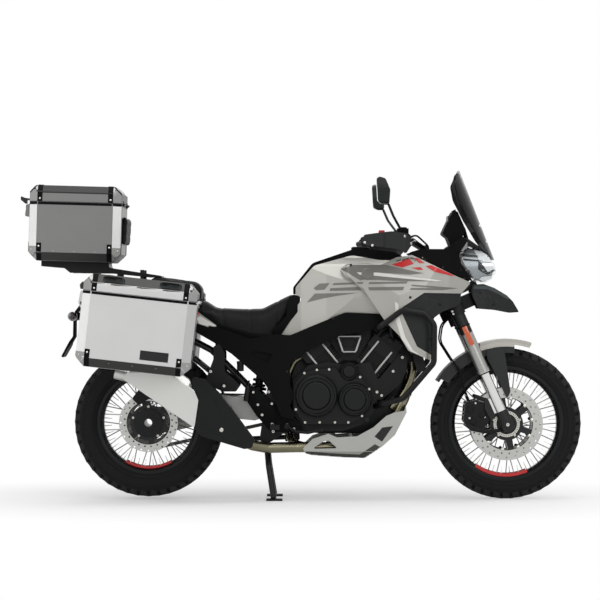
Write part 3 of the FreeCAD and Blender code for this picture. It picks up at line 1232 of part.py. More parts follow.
# ---------------------------------------------------------------- assembly
SEATS = (
    # piece, the neighbours it is cut back to
    ("cylinders", ("crankcase",)),
    ("engine_covers", ("cylinders",)),
    ("intake_body", ("crankcase", "cylinders")),
    ("main_frame", ("crankcase", "cylinders")),
    ("exhaust_pipes", ("cylinders", "crankcase", "main_frame", "swingarm", "muffler")),
    ("muffler_guard", ("muffler",)),
    ("skid_plate", ("exhaust_pipes", "crankcase")),
    ("radiator", ("main_frame", "exhaust_pipes")),
    ("fuel_tank", ("tank_spine", "main_frame")),
    ("shock_absorber", ("swingarm", "main_frame")),
    ("rear_caliper", ("swingarm",)),
    ("fairings", ("fuel_tank", "main_frame")),
    ("radiator_shrouds", ("fairings", "radiator")),
    ("cockpit_cowl", ("fairings",)),
    ("headlight", ("cockpit_cowl", "main_frame", "fairings")),
    ("beak", ("main_frame", "headlight", "fairings")),
    ("windscreen", ("headlight", "cockpit_cowl")),
    ("crash_bars", ("main_frame", "crankcase", "engine_covers")),
    ("foot_pegs", ("main_frame",)),
    ("frame_covers", ("fuel_tank", "main_frame", "engine_covers", "foot_pegs")),
    ("rider_seat", ("fuel_tank", "tank_spine", "main_frame", "frame_covers")),
    ("pillion_seat", ("rider_seat", "main_frame")),
    ("luggage_racks", ("main_frame", "pillion_seat")),
    ("pillion_pegs", ("main_frame", "frame_covers")),
    ("tail_cowl", ("frame_covers", "main_frame", "luggage_racks", "pillion_pegs", "pillion_seat")),
    ("plate_holder", ("main_frame", "tail_cowl")),
    ("rear_lights", ("tail_cowl", "plate_holder")),
    ("foot_levers", ("foot_pegs", "frame_covers")),
    ("hand_guards", ("handlebar", "bar_controls", "grips")),
    ("mirrors", ("bar_controls",)),
    ("front_fender", ("fork_legs",)),
    ("front_calipers", ("fork_legs",)),
    ("brake_hoses", ("front_calipers", "triple_clamps", "bar_controls")),
)


def build():
    front_wheel()
    rear_wheel()
    drive()
    chain()
    fork()
    handlebar()
    bar_controls()
    hand_guards()
    mirrors()
    front_fender()
    front_calipers()
    brake_hoses()
    engine_block()
    engine_covers()
    engine_top()
    exhaust()
    cooling()
    main_frame()
    swingarm()
    rear_suspension()
    stands()
    tank_and_covers()
    fairings()
    nose()
    windscreen()
    seats()
    side_covers()
    tail()
    panniers()
    top_box()
    racks()
    skid_plate()
    node("crash_bars", crash_bars(size("crash_bar_radius")))
    foot_controls()
    for label, neighbours in SEATS:
        seat(label, *neighbours)


def check_and_export():
    DOC.recompute()
    problems = [obj.Name + " " + obj.Label for obj in DOC.Objects
                if "Invalid" in obj.State or "Error" in obj.State]
    for piece in NODES.values():
        if piece.Shape.isNull() or not piece.Shape.isValid() or not piece.Shape.Solids:
            problems.append("shape of " + piece.Label)
    if problems:
        raise RuntimeError("failed: " + ", ".join(problems))
    os.makedirs("parts", exist_ok=True)
    for piece in NODES.values():
        piece.Shape.exportStep(os.path.join("parts", piece.Label + ".step"))
        print("%-22s solids %2d  volume %8.0f cm3" % (
            piece.Label, len(piece.Shape.Solids), piece.Shape.Volume / 1000))


build()
check_and_export()
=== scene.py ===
# Adventure motorcycle with aluminium cases: finishes, fittings, trim and studio.
import json
import math
import bmesh
import bpy
from mathutils import Matrix, Vector
from mathutils.bvhtree import BVHTree


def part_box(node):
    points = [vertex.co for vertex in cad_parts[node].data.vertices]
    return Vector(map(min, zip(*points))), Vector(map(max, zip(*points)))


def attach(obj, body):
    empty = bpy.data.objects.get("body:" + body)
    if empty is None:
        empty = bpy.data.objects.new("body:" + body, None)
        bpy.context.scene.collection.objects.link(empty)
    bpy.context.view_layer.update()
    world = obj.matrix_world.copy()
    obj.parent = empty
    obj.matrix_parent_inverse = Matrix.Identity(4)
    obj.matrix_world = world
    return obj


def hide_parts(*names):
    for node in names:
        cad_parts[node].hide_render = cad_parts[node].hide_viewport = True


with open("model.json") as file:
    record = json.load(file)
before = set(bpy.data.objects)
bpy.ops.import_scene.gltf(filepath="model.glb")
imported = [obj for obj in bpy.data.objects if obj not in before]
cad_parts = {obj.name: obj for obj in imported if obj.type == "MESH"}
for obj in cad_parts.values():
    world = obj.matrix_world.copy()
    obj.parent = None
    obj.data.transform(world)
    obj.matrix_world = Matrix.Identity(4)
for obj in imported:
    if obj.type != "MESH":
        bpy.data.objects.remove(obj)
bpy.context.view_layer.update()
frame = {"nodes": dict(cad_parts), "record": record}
nodes = frame["nodes"]
print("frame loaded:", len(nodes), "nodes")


def addObject(name, data):
    made = bpy.data.objects.new(name, data)
    bpy.context.scene.collection.objects.link(made)
    return made


def meshFrom(name, work):
    mesh = bpy.data.meshes.new(name)
    work.to_mesh(mesh)
    work.free()
    return mesh


def workFrom(mesh):
    work = bmesh.new()
    work.from_mesh(mesh)
    return work


def evaluated(piece):
    # the mesh that a piece's modifiers make of it; the modifiers go
    mesh = bpy.data.meshes.new_from_object(piece.evaluated_get(bpy.context.evaluated_depsgraph_get()))
    piece.modifiers.clear()
    return mesh


# camera far enough away that both sides of the motorcycle nearly line up
cameraSizes = {"place": (-0.004, -12.0, 0.869), "lens": 164.3}
cameraData = bpy.data.cameras.new("camera")
cameraData.lens = cameraSizes["lens"]
cameraData.sensor_width = 36.0
camera = addObject("camera", cameraData)
camera.location = cameraSizes["place"]
camera.rotation_euler = (math.radians(90), 0, 0)
bpy.context.scene.camera = camera
bpy.context.scene.view_settings.view_transform = "Standard"


def hexColour(code, alpha=1.0):
    # sRGB hex to the linear values that shaders take
    parts = [int(code[i:i + 2], 16) / 255 for i in (1, 3, 5)]
    linear = [c / 12.92 if c <= 0.04045 else ((c + 0.055) / 1.055) ** 2.4 for c in parts]
    return (*linear, alpha)


def addNode(tree, kind, settings=None, **links):
    # settings: names with a capital or a number are sockets, the rest are properties
    node = tree.nodes.new(kind)
    for key, value in (settings or {}).items():
        if isinstance(key, int) or key[0].isupper():
            node.inputs[key].default_value = value
        else:
            setattr(node, key, value)
    for key, source in links.items():
        numbered = key[0] == "i" and key[1:].isdigit()
        tree.links.new(source, node.inputs[int(key[1:]) if numbered else key.replace("_", " ")])
    return node


def newMaterial(name):
    material = bpy.data.materials.new(name)
    material.use_nodes = True
    tree = material.node_tree
    tree.nodes.clear()
    output = tree.nodes.new("ShaderNodeOutputMaterial")
    shader = tree.nodes.new("ShaderNodeBsdfPrincipled")
    tree.links.new(shader.outputs[0], output.inputs[0])
    return material, tree, shader


def grained(name, colour, roughness, metallic=0.0, grainMm=1.0, bump=0.1, mottle=0.06, roughSpread=0.08,
            stretch=(1, 1, 1), coat=0.0, coatRoughness=0.1, specular=0.3, depthMm=0.1):
    # a finish with a fine grain, slow colour drift and uneven gloss
    material, tree, shader = newMaterial(name)
    shader.inputs["Metallic"].default_value = metallic
    shader.inputs["Coat Weight"].default_value = coat
    shader.inputs["Coat Roughness"].default_value = coatRoughness
    shader.inputs["Specular IOR Level"].default_value = specular
    place = addNode(tree, "ShaderNodeTexCoord")
    mapped = addNode(tree, "ShaderNodeMapping", {"Scale": stretch}, Vector=place.outputs["Object"])
    grain = addNode(tree, "ShaderNodeTexNoise", {"Scale": 1000 / grainMm / 2, "Detail": 3.0, "Roughness": 0.6},
                    Vector=mapped.outputs[0])
    drift = addNode(tree, "ShaderNodeTexNoise", {"Scale": 9.0, "Detail": 4.0}, Vector=place.outputs["Object"])
    base = hexColour(colour)
    dark = tuple(c * (1 - mottle) for c in base[:3]) + (1,)
    light = tuple(min(1, c * (1 + mottle)) for c in base[:3]) + (1,)
    tint = addNode(tree, "ShaderNodeMix", {"data_type": "RGBA", 6: dark, 7: light}, i0=drift.outputs["Fac"])
    tree.links.new(tint.outputs[2], shader.inputs["Base Color"])
    rough = addNode(tree, "ShaderNodeMapRange",
                    {"From Min": 0.3, "From Max": 0.7, "To Min": max(0.02, roughness - roughSpread),
                     "To Max": min(1, roughness + roughSpread)}, Value=grain.outputs["Fac"])
    tree.links.new(rough.outputs[0], shader.inputs["Roughness"])
    if bump > 0:
        relief = addNode(tree, "ShaderNodeBump", {"Strength": bump, "Distance": depthMm / 1000},
                         Height=grain.outputs["Fac"])
        tree.links.new(relief.outputs[0], shader.inputs["Normal"])
    return material


def banded(name, origin, axis, bands, grainMm=0.8, bump=0.05, across=None, halfWidth=0.0):
    # one casting or tube in several finishes, set off by the distance along an axis, or round the origin;
    # what stands out further than halfWidth across it takes the first finish
    material, tree, shader = newMaterial(name)
    shader.inputs["Specular IOR Level"].default_value = 0.3
    place = addNode(tree, "ShaderNodeTexCoord")
    offset = addNode(tree, "ShaderNodeVectorMath", {"operation": "SUBTRACT", 1: origin}, i0=place.outputs["Object"])
    if axis:
        reach = addNode(tree, "ShaderNodeVectorMath", {"operation": "DOT_PRODUCT", 1: axis},
                        i0=offset.outputs[0]).outputs["Value"]
    else:
        flat = addNode(tree, "ShaderNodeVectorMath", {"operation": "MULTIPLY", 1: (1, 0, 1)}, i0=offset.outputs[0])
        reach = addNode(tree, "ShaderNodeVectorMath", {"operation": "LENGTH"}, i0=flat.outputs[0]).outputs["Value"]
    share = addNode(tree, "ShaderNodeMapRange", {"From Min": -0.1, "From Max": 0.9}, Value=reach)
    if across:
        aside = addNode(tree, "ShaderNodeVectorMath", {"operation": "DOT_PRODUCT", 1: across}, i0=offset.outputs[0])
        width = addNode(tree, "ShaderNodeMath", {"operation": "ABSOLUTE"}, i0=aside.outputs["Value"])
        within = addNode(tree, "ShaderNodeMath", {"operation": "LESS_THAN", 1: halfWidth}, i0=width.outputs[0])
        share = addNode(tree, "ShaderNodeMath", {"operation": "MULTIPLY"}, i0=share.outputs[0], i1=within.outputs[0])
    ramps = {}
    for index, socket in ((1, "Base Color"), (2, "Roughness"), (3, "Metallic")):
        ramp = addNode(tree, "ShaderNodeValToRGB", None, Fac=share.outputs[0])
        ramp.color_ramp.interpolation = "CONSTANT"
        while len(ramp.color_ramp.elements) < len(bands):
            ramp.color_ramp.elements.new(0.5)
        for element, band in zip(ramp.color_ramp.elements, bands):
            element.position = band[0] + 0.1
            element.color = hexColour(band[1]) if index == 1 else (band[index],) * 3 + (1,)
        ramps[socket] = ramp.outputs[0]
        tree.links.new(ramp.outputs[0], shader.inputs[socket])
    grain = addNode(tree, "ShaderNodeTexNoise", {"Scale": 500 / grainMm, "Detail": 3.0},
                    Vector=place.outputs["Object"])
    relief = addNode(tree, "ShaderNodeBump", {"Strength": bump, "Distance": 0.0001}, Height=grain.outputs["Fac"])
    tree.links.new(relief.outputs[0], shader.inputs["Normal"])
    return material


def clearPlastic(name, tint, alpha, roughness, specular=0.5):
    # see-through moulded polycarbonate
    material, tree, shader = newMaterial(name)
    shader.inputs["Base Color"].default_value = hexColour(tint)
    shader.inputs["Roughness"].default_value = roughness
    shader.inputs["Specular IOR Level"].default_value = specular
    shader.inputs["IOR"].default_value = 1.58
    shader.inputs["Alpha"].default_value = alpha
    return material


frontAxle, rearAxle = Vector((0.896, 0, 0.329)), Vector((-0.664, 0, 0.335))
forkUp = Vector((-math.sin(math.radians(24)), 0, math.cos(math.radians(24))))
forkForward = Vector((forkUp.z, 0, -forkUp.x))

finish = {
    # basecoat with metal flake under a satin clear coat: a soft warm grey with broad highlights
    "silverPaint": grained("satinSilverPaint", "#a3a29c", 0.36, 0.45, 0.8, 0.02, 0.03, 0.05,
                           coat=0.3, coatRoughness=0.25),
    # the same paint made lighter: a painted highlight on the radiator shroud's blade
    "paleSilverPaint": grained("paleSilverPaint", "#d3d2cd", 0.34, 0.45, 0.8, 0.02, 0.02, 0.05, coat=0.3),
    # printed vinyl film in four colours: dull and flat with a thin gloss
    "greyFilm": grained("greyVinylFilm", "#6f6e69", 0.4, 0.1, 1.5, 0.03, 0.05, coat=0.2),
    "paleFilm": grained("paleVinylFilm", "#dcdbd7", 0.38, 0.0, 1.5, 0.02, 0.02, coat=0.2),
    "redFilm": grained("redVinylFilm", "#c92a2c", 0.36, 0.0, 1.5, 0.02, 0.05, coat=0.3),
    # also laid as a painted shade in the panels' recesses, notch and cut-out
    "blackFilm": grained("blackVinylLabel", "#161717", 0.45, 0.0, 1.5, 0.02, 0.04),
    # polypropylene moulded in a grained tool: leather-like grain, dull
    "blackPlastic": grained("mouldedBlackPolypropylene", "#0b0c0c", 0.6, 0, 1.1, 0.3, 0.12, specular=0.06),
    # ABS from a polished tool: smoother and a little glossier than polypropylene
    "darkPlastic": grained("satinGreyABS", "#1e2121", 0.42, 0, 0.8, 0.12, 0.08, specular=0.2),
    # the same plastic made paler: a painted highlight where it catches the light along a raised edge; also on the
    # pannier handle plates
    "edgePlastic": grained("paleGreyABS", "#44494a", 0.45, 0, 0.8, 0.1, 0.08, specular=0.2),
    # the chamfered rim round the headlamp
    "bezelPlastic": grained("satinMouldedBezel", "#858887", 0.45, 0, 0.8, 0.1, 0.08, specular=0.2),
    # glass-filled nylon: rougher and duller than ABS
    "guardPlastic": grained("heatproofNylonGuard", "#151717", 0.5, 0, 1.0, 0.2, 0.1, specular=0.15),
    # powder coat on steel tube: orange-peel skin, satin
    "powderCoat": grained("blackPowderCoat", "#0c0d0d", 0.36, 0, 2.2, 0.15, 0.08, specular=0.2),
    # sand-cast aluminium under black paint: rough skin
    "castBlack": grained("blackPaintedCasting", "#101111", 0.48, 0.1, 1.6, 0.35, 0.12, specular=0.2),
    "engineBlack": grained("satinBlackEnginePaint", "#0e1010", 0.42, 0.1, 1.8, 0.25, 0.12, specular=0.22),
    # dark anodised aluminium: even and satin
    "barMetal": grained("blackAnodisedBar", "#17191a", 0.33, 0.5, 0.7, 0.03, 0.05),
    "blackRim": grained("blackAnodisedRim", "#121415", 0.32, 0.4, 0.9, 0.05, 0.06),
    "gripRubber": grained("mouldedGripRubber", "#0e0e0e", 0.75, 0, 1.5, 0.4, 0.08, specular=0.12),
    "tyreRubber": grained("vulcanisedTyreRubber", "#191a1a", 0.8, 0, 1.4, 0.35, 0.12, specular=0.15),
    # the tread blocks: paler and duller than the side wall, the paler colour a painted highlight where the blocks
    # catch the light
    "treadRubber": grained("scuffedTreadRubber", "#292a2a", 0.85, 0, 1.4, 0.4, 0.2, specular=0.15),
    # ground stainless steel: bright with fine turning marks
    "discSteel": grained("groundDiscSteel", "#b5b5b2", 0.3, 1.0, 0.5, 0.05, 0.04),
    "sprocketSteel": grained("plainSteelSprocket", "#6d6c69", 0.4, 1.0, 0.8, 0.08, 0.08),
    "chainSteel": grained("oiledChainSteel", "#4a4845", 0.38, 1.0, 0.8, 0.1, 0.15),
    # zinc-plated steel screws: bright, slightly yellow
    "boltSteel": grained("zincPlatedSteel", "#c6c4bd", 0.28, 1.0, 0.6, 0.05, 0.06),
    "blackBolt": grained("blackOxideSteel", "#2a2b2b", 0.4, 0.8, 0.6, 0.05, 0.06),
    # one fork leg: dark casting at the foot, chromed tube, silver anodised tube, black clamp area
    "forkMetal": banded("anodisedAndChromedFork", frontAxle, forkUp,
                        [(-0.1, "#1a1b1c", 0.45, 0.1), (0.062, "#d8d8d6", 0.08, 1.0),
                         (0.246, "#9c9c99", 0.3, 0.9), (0.43, "#232525", 0.35, 0.6)],
                        0.8, 0.05, forkForward, 0.0305),
    # black moulded fender with its upper skin sprayed silver
    "fenderPaint": banded("blackAndSilverFender", frontAxle, None,
                          [(-0.1, "#1b1d1d", 0.5, 0.0), (0.336, "#aeaca5", 0.36, 0.45)], 0.8, 0.05,
                          (1, 0, 0), 0.117),
    # black anodised rim and hub with bare stainless spokes between them
    "frontSpokes": banded("blackRimSteelSpokes", frontAxle, None,
                          [(-0.1, "#121415", 0.32, 0.4), (0.05, "#8f8f8b", 0.3, 0.9),
                           (0.219, "#121415", 0.32, 0.4)]),
    "rearSpokes": banded("blackRearRimSteelSpokes", rearAxle, None,
                         [(-0.1, "#121415", 0.32, 0.4), (0.066, "#8f8f8b", 0.3, 0.9),
                          (0.194, "#121415", 0.32, 0.4)]),
    # ground disc riveted to a black anodised carrier
    "carrierSteel": banded("discWithBlackCarrier", frontAxle, None,
                           [(-0.1, "#1a1b1b", 0.45, 0.1), (0.112, "#b5b5b2", 0.3, 1.0)], 0.5),
    "rearCarrierSteel": banded("rearDiscWithBlackCarrier", rearAxle, None,
                               [(-0.1, "#1a1b1b", 0.45, 0.1), (0.0925, "#b5b5b2", 0.3, 1.0)], 0.5),
    # sand-cast aluminium left bare: grey and slightly rough
    "castSilver": grained("sandCastAluminium", "#9fa09d", 0.42, 0.75, 1.6, 0.2, 0.08),
    # rolled steel tube coloured by heat: straw and brown drifts
    "exhaustSteel": grained("heatTintedSteel", "#77735f", 0.26, 1.0, 1.0, 0.05, 0.22),
    # bead-blasted sleeve: even and pale
    "mufflerSteel": grained("beadBlastedSteelSleeve", "#c8c8c5", 0.42, 0.9, 0.5, 0.06, 0.04),
    "radiatorBlack": grained("paintedRadiatorFins", "#101112", 0.6, 0.2, 1.0, 0.2, 0.1),
    "springSteel": grained("paintedSpringSteel", "#1a1a1b", 0.35, 0.3, 1.0, 0.05, 0.05),
    # brushed sheet with a clear anodised skin: fine upright lines
    "caseAluminium": grained("brushedCaseAluminium", "#c4c4c3", 0.42, 0.85, 0.7, 0.08, 0.04, 0.08, (1, 1, 0.06)),
    "boxAluminium": grained("darkBrushedAluminium", "#787877", 0.42, 0.85, 0.7, 0.08, 0.04, 0.08, (1, 1, 0.06)),
    # the top box lid: the same sheet darkened, a painted shade on its upward bevel
    "boxLidAluminium": grained("darkAnodisedLid", "#313130", 0.42, 0.6, 0.7, 0.06, 0.05, 0.08, (0.06, 1, 1)),
    # a painted highlight: the same sheet made near white on the cases' rounded corner columns
    "edgeAluminium": grained("brightEdgeExtrusion", "#f6f6f4", 0.34, 0.4, 0.5, 0.0, 0.02, 0.04, (1, 1, 0.3)),
    # the pannier lids and the top box's lower band: the same sheet darkened, a painted shade on bevels facing up or
    # down
    "lidAluminium": grained("greyAnodisedLid", "#3b3b39", 0.42, 0.7, 0.7, 0.06, 0.05, 0.08, (0.06, 1, 1)),
    # the panniers' lower band: the same sheet darkened, a painted shade on the bevel facing down
    "bandAluminium": grained("darkFoldedBand", "#3c3c3a", 0.4, 0.7, 0.7, 0.06, 0.05, 0.08, (0.06, 1, 1)),
    "columnAluminium": grained("satinEdgeExtrusion", "#c4c4c3", 0.4, 0.7, 0.7, 0.02, 0.03, 0.05, (1, 1, 0.3)),
    # the skid plate's underside below its fold: the same plate darkened, a painted shade
    "foldAluminium": grained("shadedSkidFold", "#42423f", 0.42, 0.8, 0.9, 0.08, 0.06),
    # pressed plate, satin
    "skidAluminium": grained("satinSkidAluminium", "#a2a29e", 0.4, 0.85, 0.9, 0.08, 0.06),
    # embossed seat vinyl: pebbled grain about 2 mm across, dull with a faint sheen
    "seatVinyl": grained("embossedSeatVinyl", "#0e0f0f", 0.6, 0, 2.2, 0.5, 0.1, depthMm=0.3, specular=0.15),
    "threadBlack": grained("twistedPolyesterThread", "#2c2d2d", 0.7, 0, 0.8, 0.3, 0.1),
    # moulded acrylic, dyed through: glossy
    "redLens": grained("redAcrylicLens", "#a01716", 0.12, 0, 2.0, 0.05, 0.05, coat=0.5, specular=0.5),
    "amberLens": grained("amberAcrylicLens", "#c8541d", 0.15, 0, 2.0, 0.05, 0.05, coat=0.5, specular=0.5),
    "smokedLens": grained("smokedAmberLens", "#1d0d09", 0.15, 0, 2.0, 0.05, 0.05, coat=0.5, specular=0.5),
    "redKnob": grained("redMouldedSwitch", "#a5202c", 0.4, 0, 1.5, 0.05, 0.05),
    # vacuum-metallised plastic and silvered glass: mirror-bright
    "mirrorGlass": grained("silveredMirrorGlass", "#c9ced1", 0.03, 1.0, 2.0, 0.0, 0.01, 0.01),
    "lampChrome": grained("metallisedReflector", "#dfe2e4", 0.12, 1.0, 2.0, 0.02, 0.02, 0.03),
    "lampShell": grained("satinMetallisedShell", "#a3a9ac", 0.3, 0.5, 2.0, 0.02, 0.08, 0.05),
    "lampWhite": grained("milkyLightGuide", "#eef1f2", 0.3, 0.0, 2.0, 0.02, 0.02),
    "smokedScreen": clearPlastic("smokedPolycarbonate", "#0b0d0e", 0.9, 0.1, 0.08),
    "lampLens": clearPlastic("clearPolycarbonate", "#a9b1b5", 0.1, 0.04)}

finishOfSlot = {"caliper_black": "castBlack", "frame_black": "powderCoat"}
finishesOfSlot = {
    "disc_steel": "boltSteel blackBolt mirrorGlass", "silver_paint": "redFilm paleFilm greyFilm paleSilverPaint",
    "black_plastic": "blackFilm edgePlastic guardPlastic bezelPlastic redKnob", "red_lens": "amberLens smokedLens",
    "case_aluminium": "castSilver columnAluminium bandAluminium edgeAluminium lidAluminium boxAluminium",
    "lamp_lens": "lampChrome lampWhite lampShell", "caliper_black": "castBlack", "skid_aluminium": "foldAluminium",
    "frame_black": "powderCoat", "radiator_black": "mufflerSteel", "seat_vinyl": "threadBlack",
    "tyre_rubber": "treadRubber"}
ownFinish = {"front_fender": "fenderPaint", "front_rim": "frontSpokes", "rear_rim": "rearSpokes",
             "muffler_guard": "guardPlastic", "front_discs": "carrierSteel", "rear_disc": "rearCarrierSteel",
             "top_box_body": "boxAluminium", "top_box_lid": "boxLidAluminium", "right_pannier_lid": "lidAluminium",
             "left_pannier_lid": "lidAluminium"}
slotOfNode = {piece["node"]: piece["material_slot"] for piece in frame["record"]["subparts"]}


def slotOf(finishName):
    # a finish belongs to the slot that lists it, or else to the slot of its own name
    for slotName, names in finishesOfSlot.items():
        if finishName in names.split():
            return slotName
    return "".join("_" + c.lower() if c.isupper() else c for c in finishName)


for name, node in nodes.items():
    first, *rest = slotOfNode[name].split("_")
    ownName = first + "".join(word.capitalize() for word in rest)
    node.data.materials.clear()
    node.data.materials.append(finish[ownFinish.get(name, finishOfSlot.get(slotOfNode[name], ownName))])
print("finishes on the frame:", len(finish))


def mm(x, y, z):
    return Vector((x / 1000, y / 1000, z / 1000))


def onFork(along, forward, y):
    # a point on the fork, in millimetres from the front axle
    return frontAxle + forkUp * along / 1000 + forkForward * forward / 1000 + Vector((0, y / 1000, 0))


def merge(work, part):
    # one small mesh put into a larger one
    carrier = meshFrom("carrier", part)
    work.from_mesh(carrier)
    bpy.data.meshes.remove(carrier)
    return work


def bevelled(part, width, angle=25):
    edges = [e for e in part.edges if len(e.link_faces) == 2 and e.calc_face_angle(0) > math.radians(angle)]
    bmesh.ops.bevel(part, geom=edges, offset=width / 1000, segments=2, profile=0.6, affect="EDGES")
    return part


def addBlock(work, middle, size, bevel=1.0, turn=None):
    part = bmesh.new()
    bmesh.ops.create_cube(part, size=1.0, matrix=Matrix.Diagonal((*(s / 1000 for s in size), 1)))
    if bevel:
        bevelled(part, bevel)
    bmesh.ops.transform(part, matrix=Matrix.Translation(middle) @ (turn or Matrix.Identity(4)), verts=part.verts)
    return merge(work, part)


def addPlate(work, outline, low, high, plane="side", bevel=1.0):
    # an outline in millimetres given a thickness: side is x and z, plan x and y, front y and z
    part = bmesh.new()
    spots = {"side": lambda a, b: mm(a, low, b), "plan": lambda a, b: mm(a, b, low),
             "front": lambda a, b: mm(low, a, b)}[plane]
    face = part.faces.new([part.verts.new(spots(a, b)) for a, b in outline])
    grown = bmesh.ops.extrude_face_region(part, geom=[face], use_keep_orig=True)
    step = {"side": mm(0, high - low, 0), "plan": mm(0, 0, high - low), "front": mm(high - low, 0, 0)}[plane]
    bmesh.ops.translate(part, vec=step, verts=[v for v in grown["geom"] if isinstance(v, bmesh.types.BMVert)])
    if bevel:
        bevelled(part, bevel)
    return merge(work, part)


def addTurned(work, profile, centre, axis, sides=32):
    # radius and distance pairs in millimetres spun round an axis that starts at centre
    part = bmesh.new()
    axis = Vector(axis).normalized()
    side = axis.orthogonal().normalized()
    profile = list(profile)
    if profile[0] != profile[-1] and (profile[0][0] > 0 or profile[-1][0] > 0):
        profile.append(profile[0])
    rim = [part.verts.new(centre + axis * d / 1000 + side * r / 1000) for r, d in profile]
    edges = [part.edges.new(pair) for pair in zip(rim, rim[1:])]
    bmesh.ops.spin(part, geom=rim + edges, cent=centre, axis=axis, angle=2 * math.pi, steps=sides,
                   use_merge=False, use_duplicate=False)
    bmesh.ops.remove_doubles(part, verts=part.verts, dist=0.00002)
    flat = [f for f in part.faces if f.calc_area() < 1e-14]
    bmesh.ops.delete(part, geom=flat, context="FACES_ONLY")
    return merge(work, part)


def addTube(work, points, radius, sides=10):
    # a round bar through points that are already in metres
    part = bmesh.new()
    rings = []
    normal = (points[1] - points[0]).orthogonal().normalized()
    for index, point in enumerate(points):
        before = points[max(index - 1, 0)]
        after = points[min(index + 1, len(points) - 1)]
        along = (after - before).normalized()
        normal = (normal - along * normal.dot(along)).normalized()
        across = along.cross(normal)
        turns = [2 * math.pi * k / sides for k in range(sides)]
        rings.append([part.verts.new(point + (normal * math.cos(t) + across * math.sin(t)) * radius / 1000)
                      for t in turns])
    for one, two in zip(rings, rings[1:]):
        for k in range(sides):
            part.faces.new((one[k], one[(k + 1) % sides], two[(k + 1) % sides], two[k]))
    part.faces.new(rings[0])
    part.faces.new(rings[-1])
    return merge(work, part)


def addBar(work, points, radius, sides=12, side=1):
    # a round bar through points in millimetres; side -1 puts it on the right
    return addTube(work, [mm(x, side * y, z) for x, y, z in points], radius, sides)


def addPiece(name, work, finishName, body="chassis", sharp=32, slotName=None):
    # a finished piece that rides on a body, in the slot of its finish unless another is given
    slotName = slotName or slotOf(finishName)
    bmesh.ops.recalc_face_normals(work, faces=work.faces)
    limit = math.radians(sharp)
    for face in work.faces:
        face.smooth = True
    for edge in work.edges:
        edge.smooth = len(edge.link_faces) == 2 and edge.calc_face_angle(0) < limit
    mesh = meshFrom(name, work)
    mesh.materials.append(finish[finishName])
    piece = addObject(name, mesh)
    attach(piece, body)
    return piece


surfaceTrees = {}


def surfaceOf(nodeNames):
    key = tuple(nodeNames)
    if key not in surfaceTrees:
        points, faces = [], []
        for nodeName in nodeNames:
            mesh = nodes[nodeName].data
            base = len(points)
            points += [v.co.copy() for v in mesh.vertices]
            faces += [tuple(base + k for k in p.vertices) for p in mesh.polygons]
        surfaceTrees[key] = BVHTree.FromPolygons(points, faces)
    return surfaceTrees[key]


# each way of looking at the object: the ray, and how two outline values and a depth make a point
views = {"right": (Vector((0, 1, 0)), lambda a, b: mm(a, -900, b)),
         "left": (Vector((0, -1, 0)), lambda a, b: mm(a, 900, b)),
         "top": (Vector((0, 0, -1)), lambda a, b: mm(a, b, 2000)),
         "front": (Vector((-1, 0, 0)), lambda a, b: mm(1600, a, b)),
         "rear": (Vector((1, 0, 0)), lambda a, b: mm(-1600, a, b))}


def surfacePoint(a, b, view, nodeNames):
    ray, start = views[view]
    place, normal, _, _ = surfaceOf(nodeNames).ray_cast(start(a, b), ray)
    if place is not None and normal.dot(ray) > 0:
        normal = -normal
    return place, normal


def addSkin(work, outlines, view, nodeNames, thick=0.5, lift=0.1, step=8, jump=9):
    # flat outlines laid onto the surface that is seen from one side, with a small thickness of their own
    ray, start = views[view]
    origin = start(0, 0)
    uAxis = (start(1, 0) - origin) * 1000
    vAxis = (start(0, 1) - origin) * 1000
    for outline in outlines:
        part = bmesh.new()
        part.faces.new([part.verts.new(start(a, b)) for a, b in outline])
        for axis, index in ((uAxis, 0), (vAxis, 1)):
            values = [p[index] for p in outline]
            at = math.floor(min(values) / step) * step + step
            while at < max(values):
                bmesh.ops.bisect_plane(part, geom=part.verts[:] + part.edges[:] + part.faces[:], dist=1e-6,
                                       plane_co=origin + axis * at / 1000, plane_no=axis)
                at += step
        missed = []
        for vert in part.verts:
            hit = surfaceOf(nodeNames).ray_cast(vert.co, ray)[0]
            if hit is None:
                missed.append(vert)
            else:
                vert.co = hit - ray * lift / 1000
        bmesh.ops.delete(part, geom=missed, context="VERTS")
        steep = [f for f in part.faces if max(v.co.dot(ray) for v in f.verts) - min(v.co.dot(ray) for v in f.verts)
                 > jump / 1000]
        bmesh.ops.delete(part, geom=steep, context="FACES")
        if part.faces:
            grown = bmesh.ops.extrude_face_region(part, geom=part.faces[:], use_keep_orig=True)
            bmesh.ops.translate(part, vec=-ray * thick / 1000,
                                verts=[v for v in grown["geom"] if isinstance(v, bmesh.types.BMVert)])
        merge(work, part)
    return work


def laidPiece(name, finishName, groups, sharp=32, views=("right", "left"), body="chassis", slotName=None):
    # groups: the nodes underneath, then thickness, lift, step and jump in millimetres, then the outlines
    work = bmesh.new()
    for view in views:
        for nodeNames, lay, outlines in groups:
            addSkin(work, outlines, view, nodeNames, *lay)
    return addPiece(name, work, finishName, body, sharp, slotName)


def screwsOn(spots, views, least, rise=0.0, scale=1.0):
    # screw places where the surface faces sideways by at least this share
    places = []
    for view in views:
        for a, b, nodeNames in spots:
            place, normal = surfacePoint(a, b, view, nodeNames)
            if place is not None and abs(normal.y) > least:
                places.append((place + normal * rise, normal, Vector((1, 0, 0)), scale))
    return places


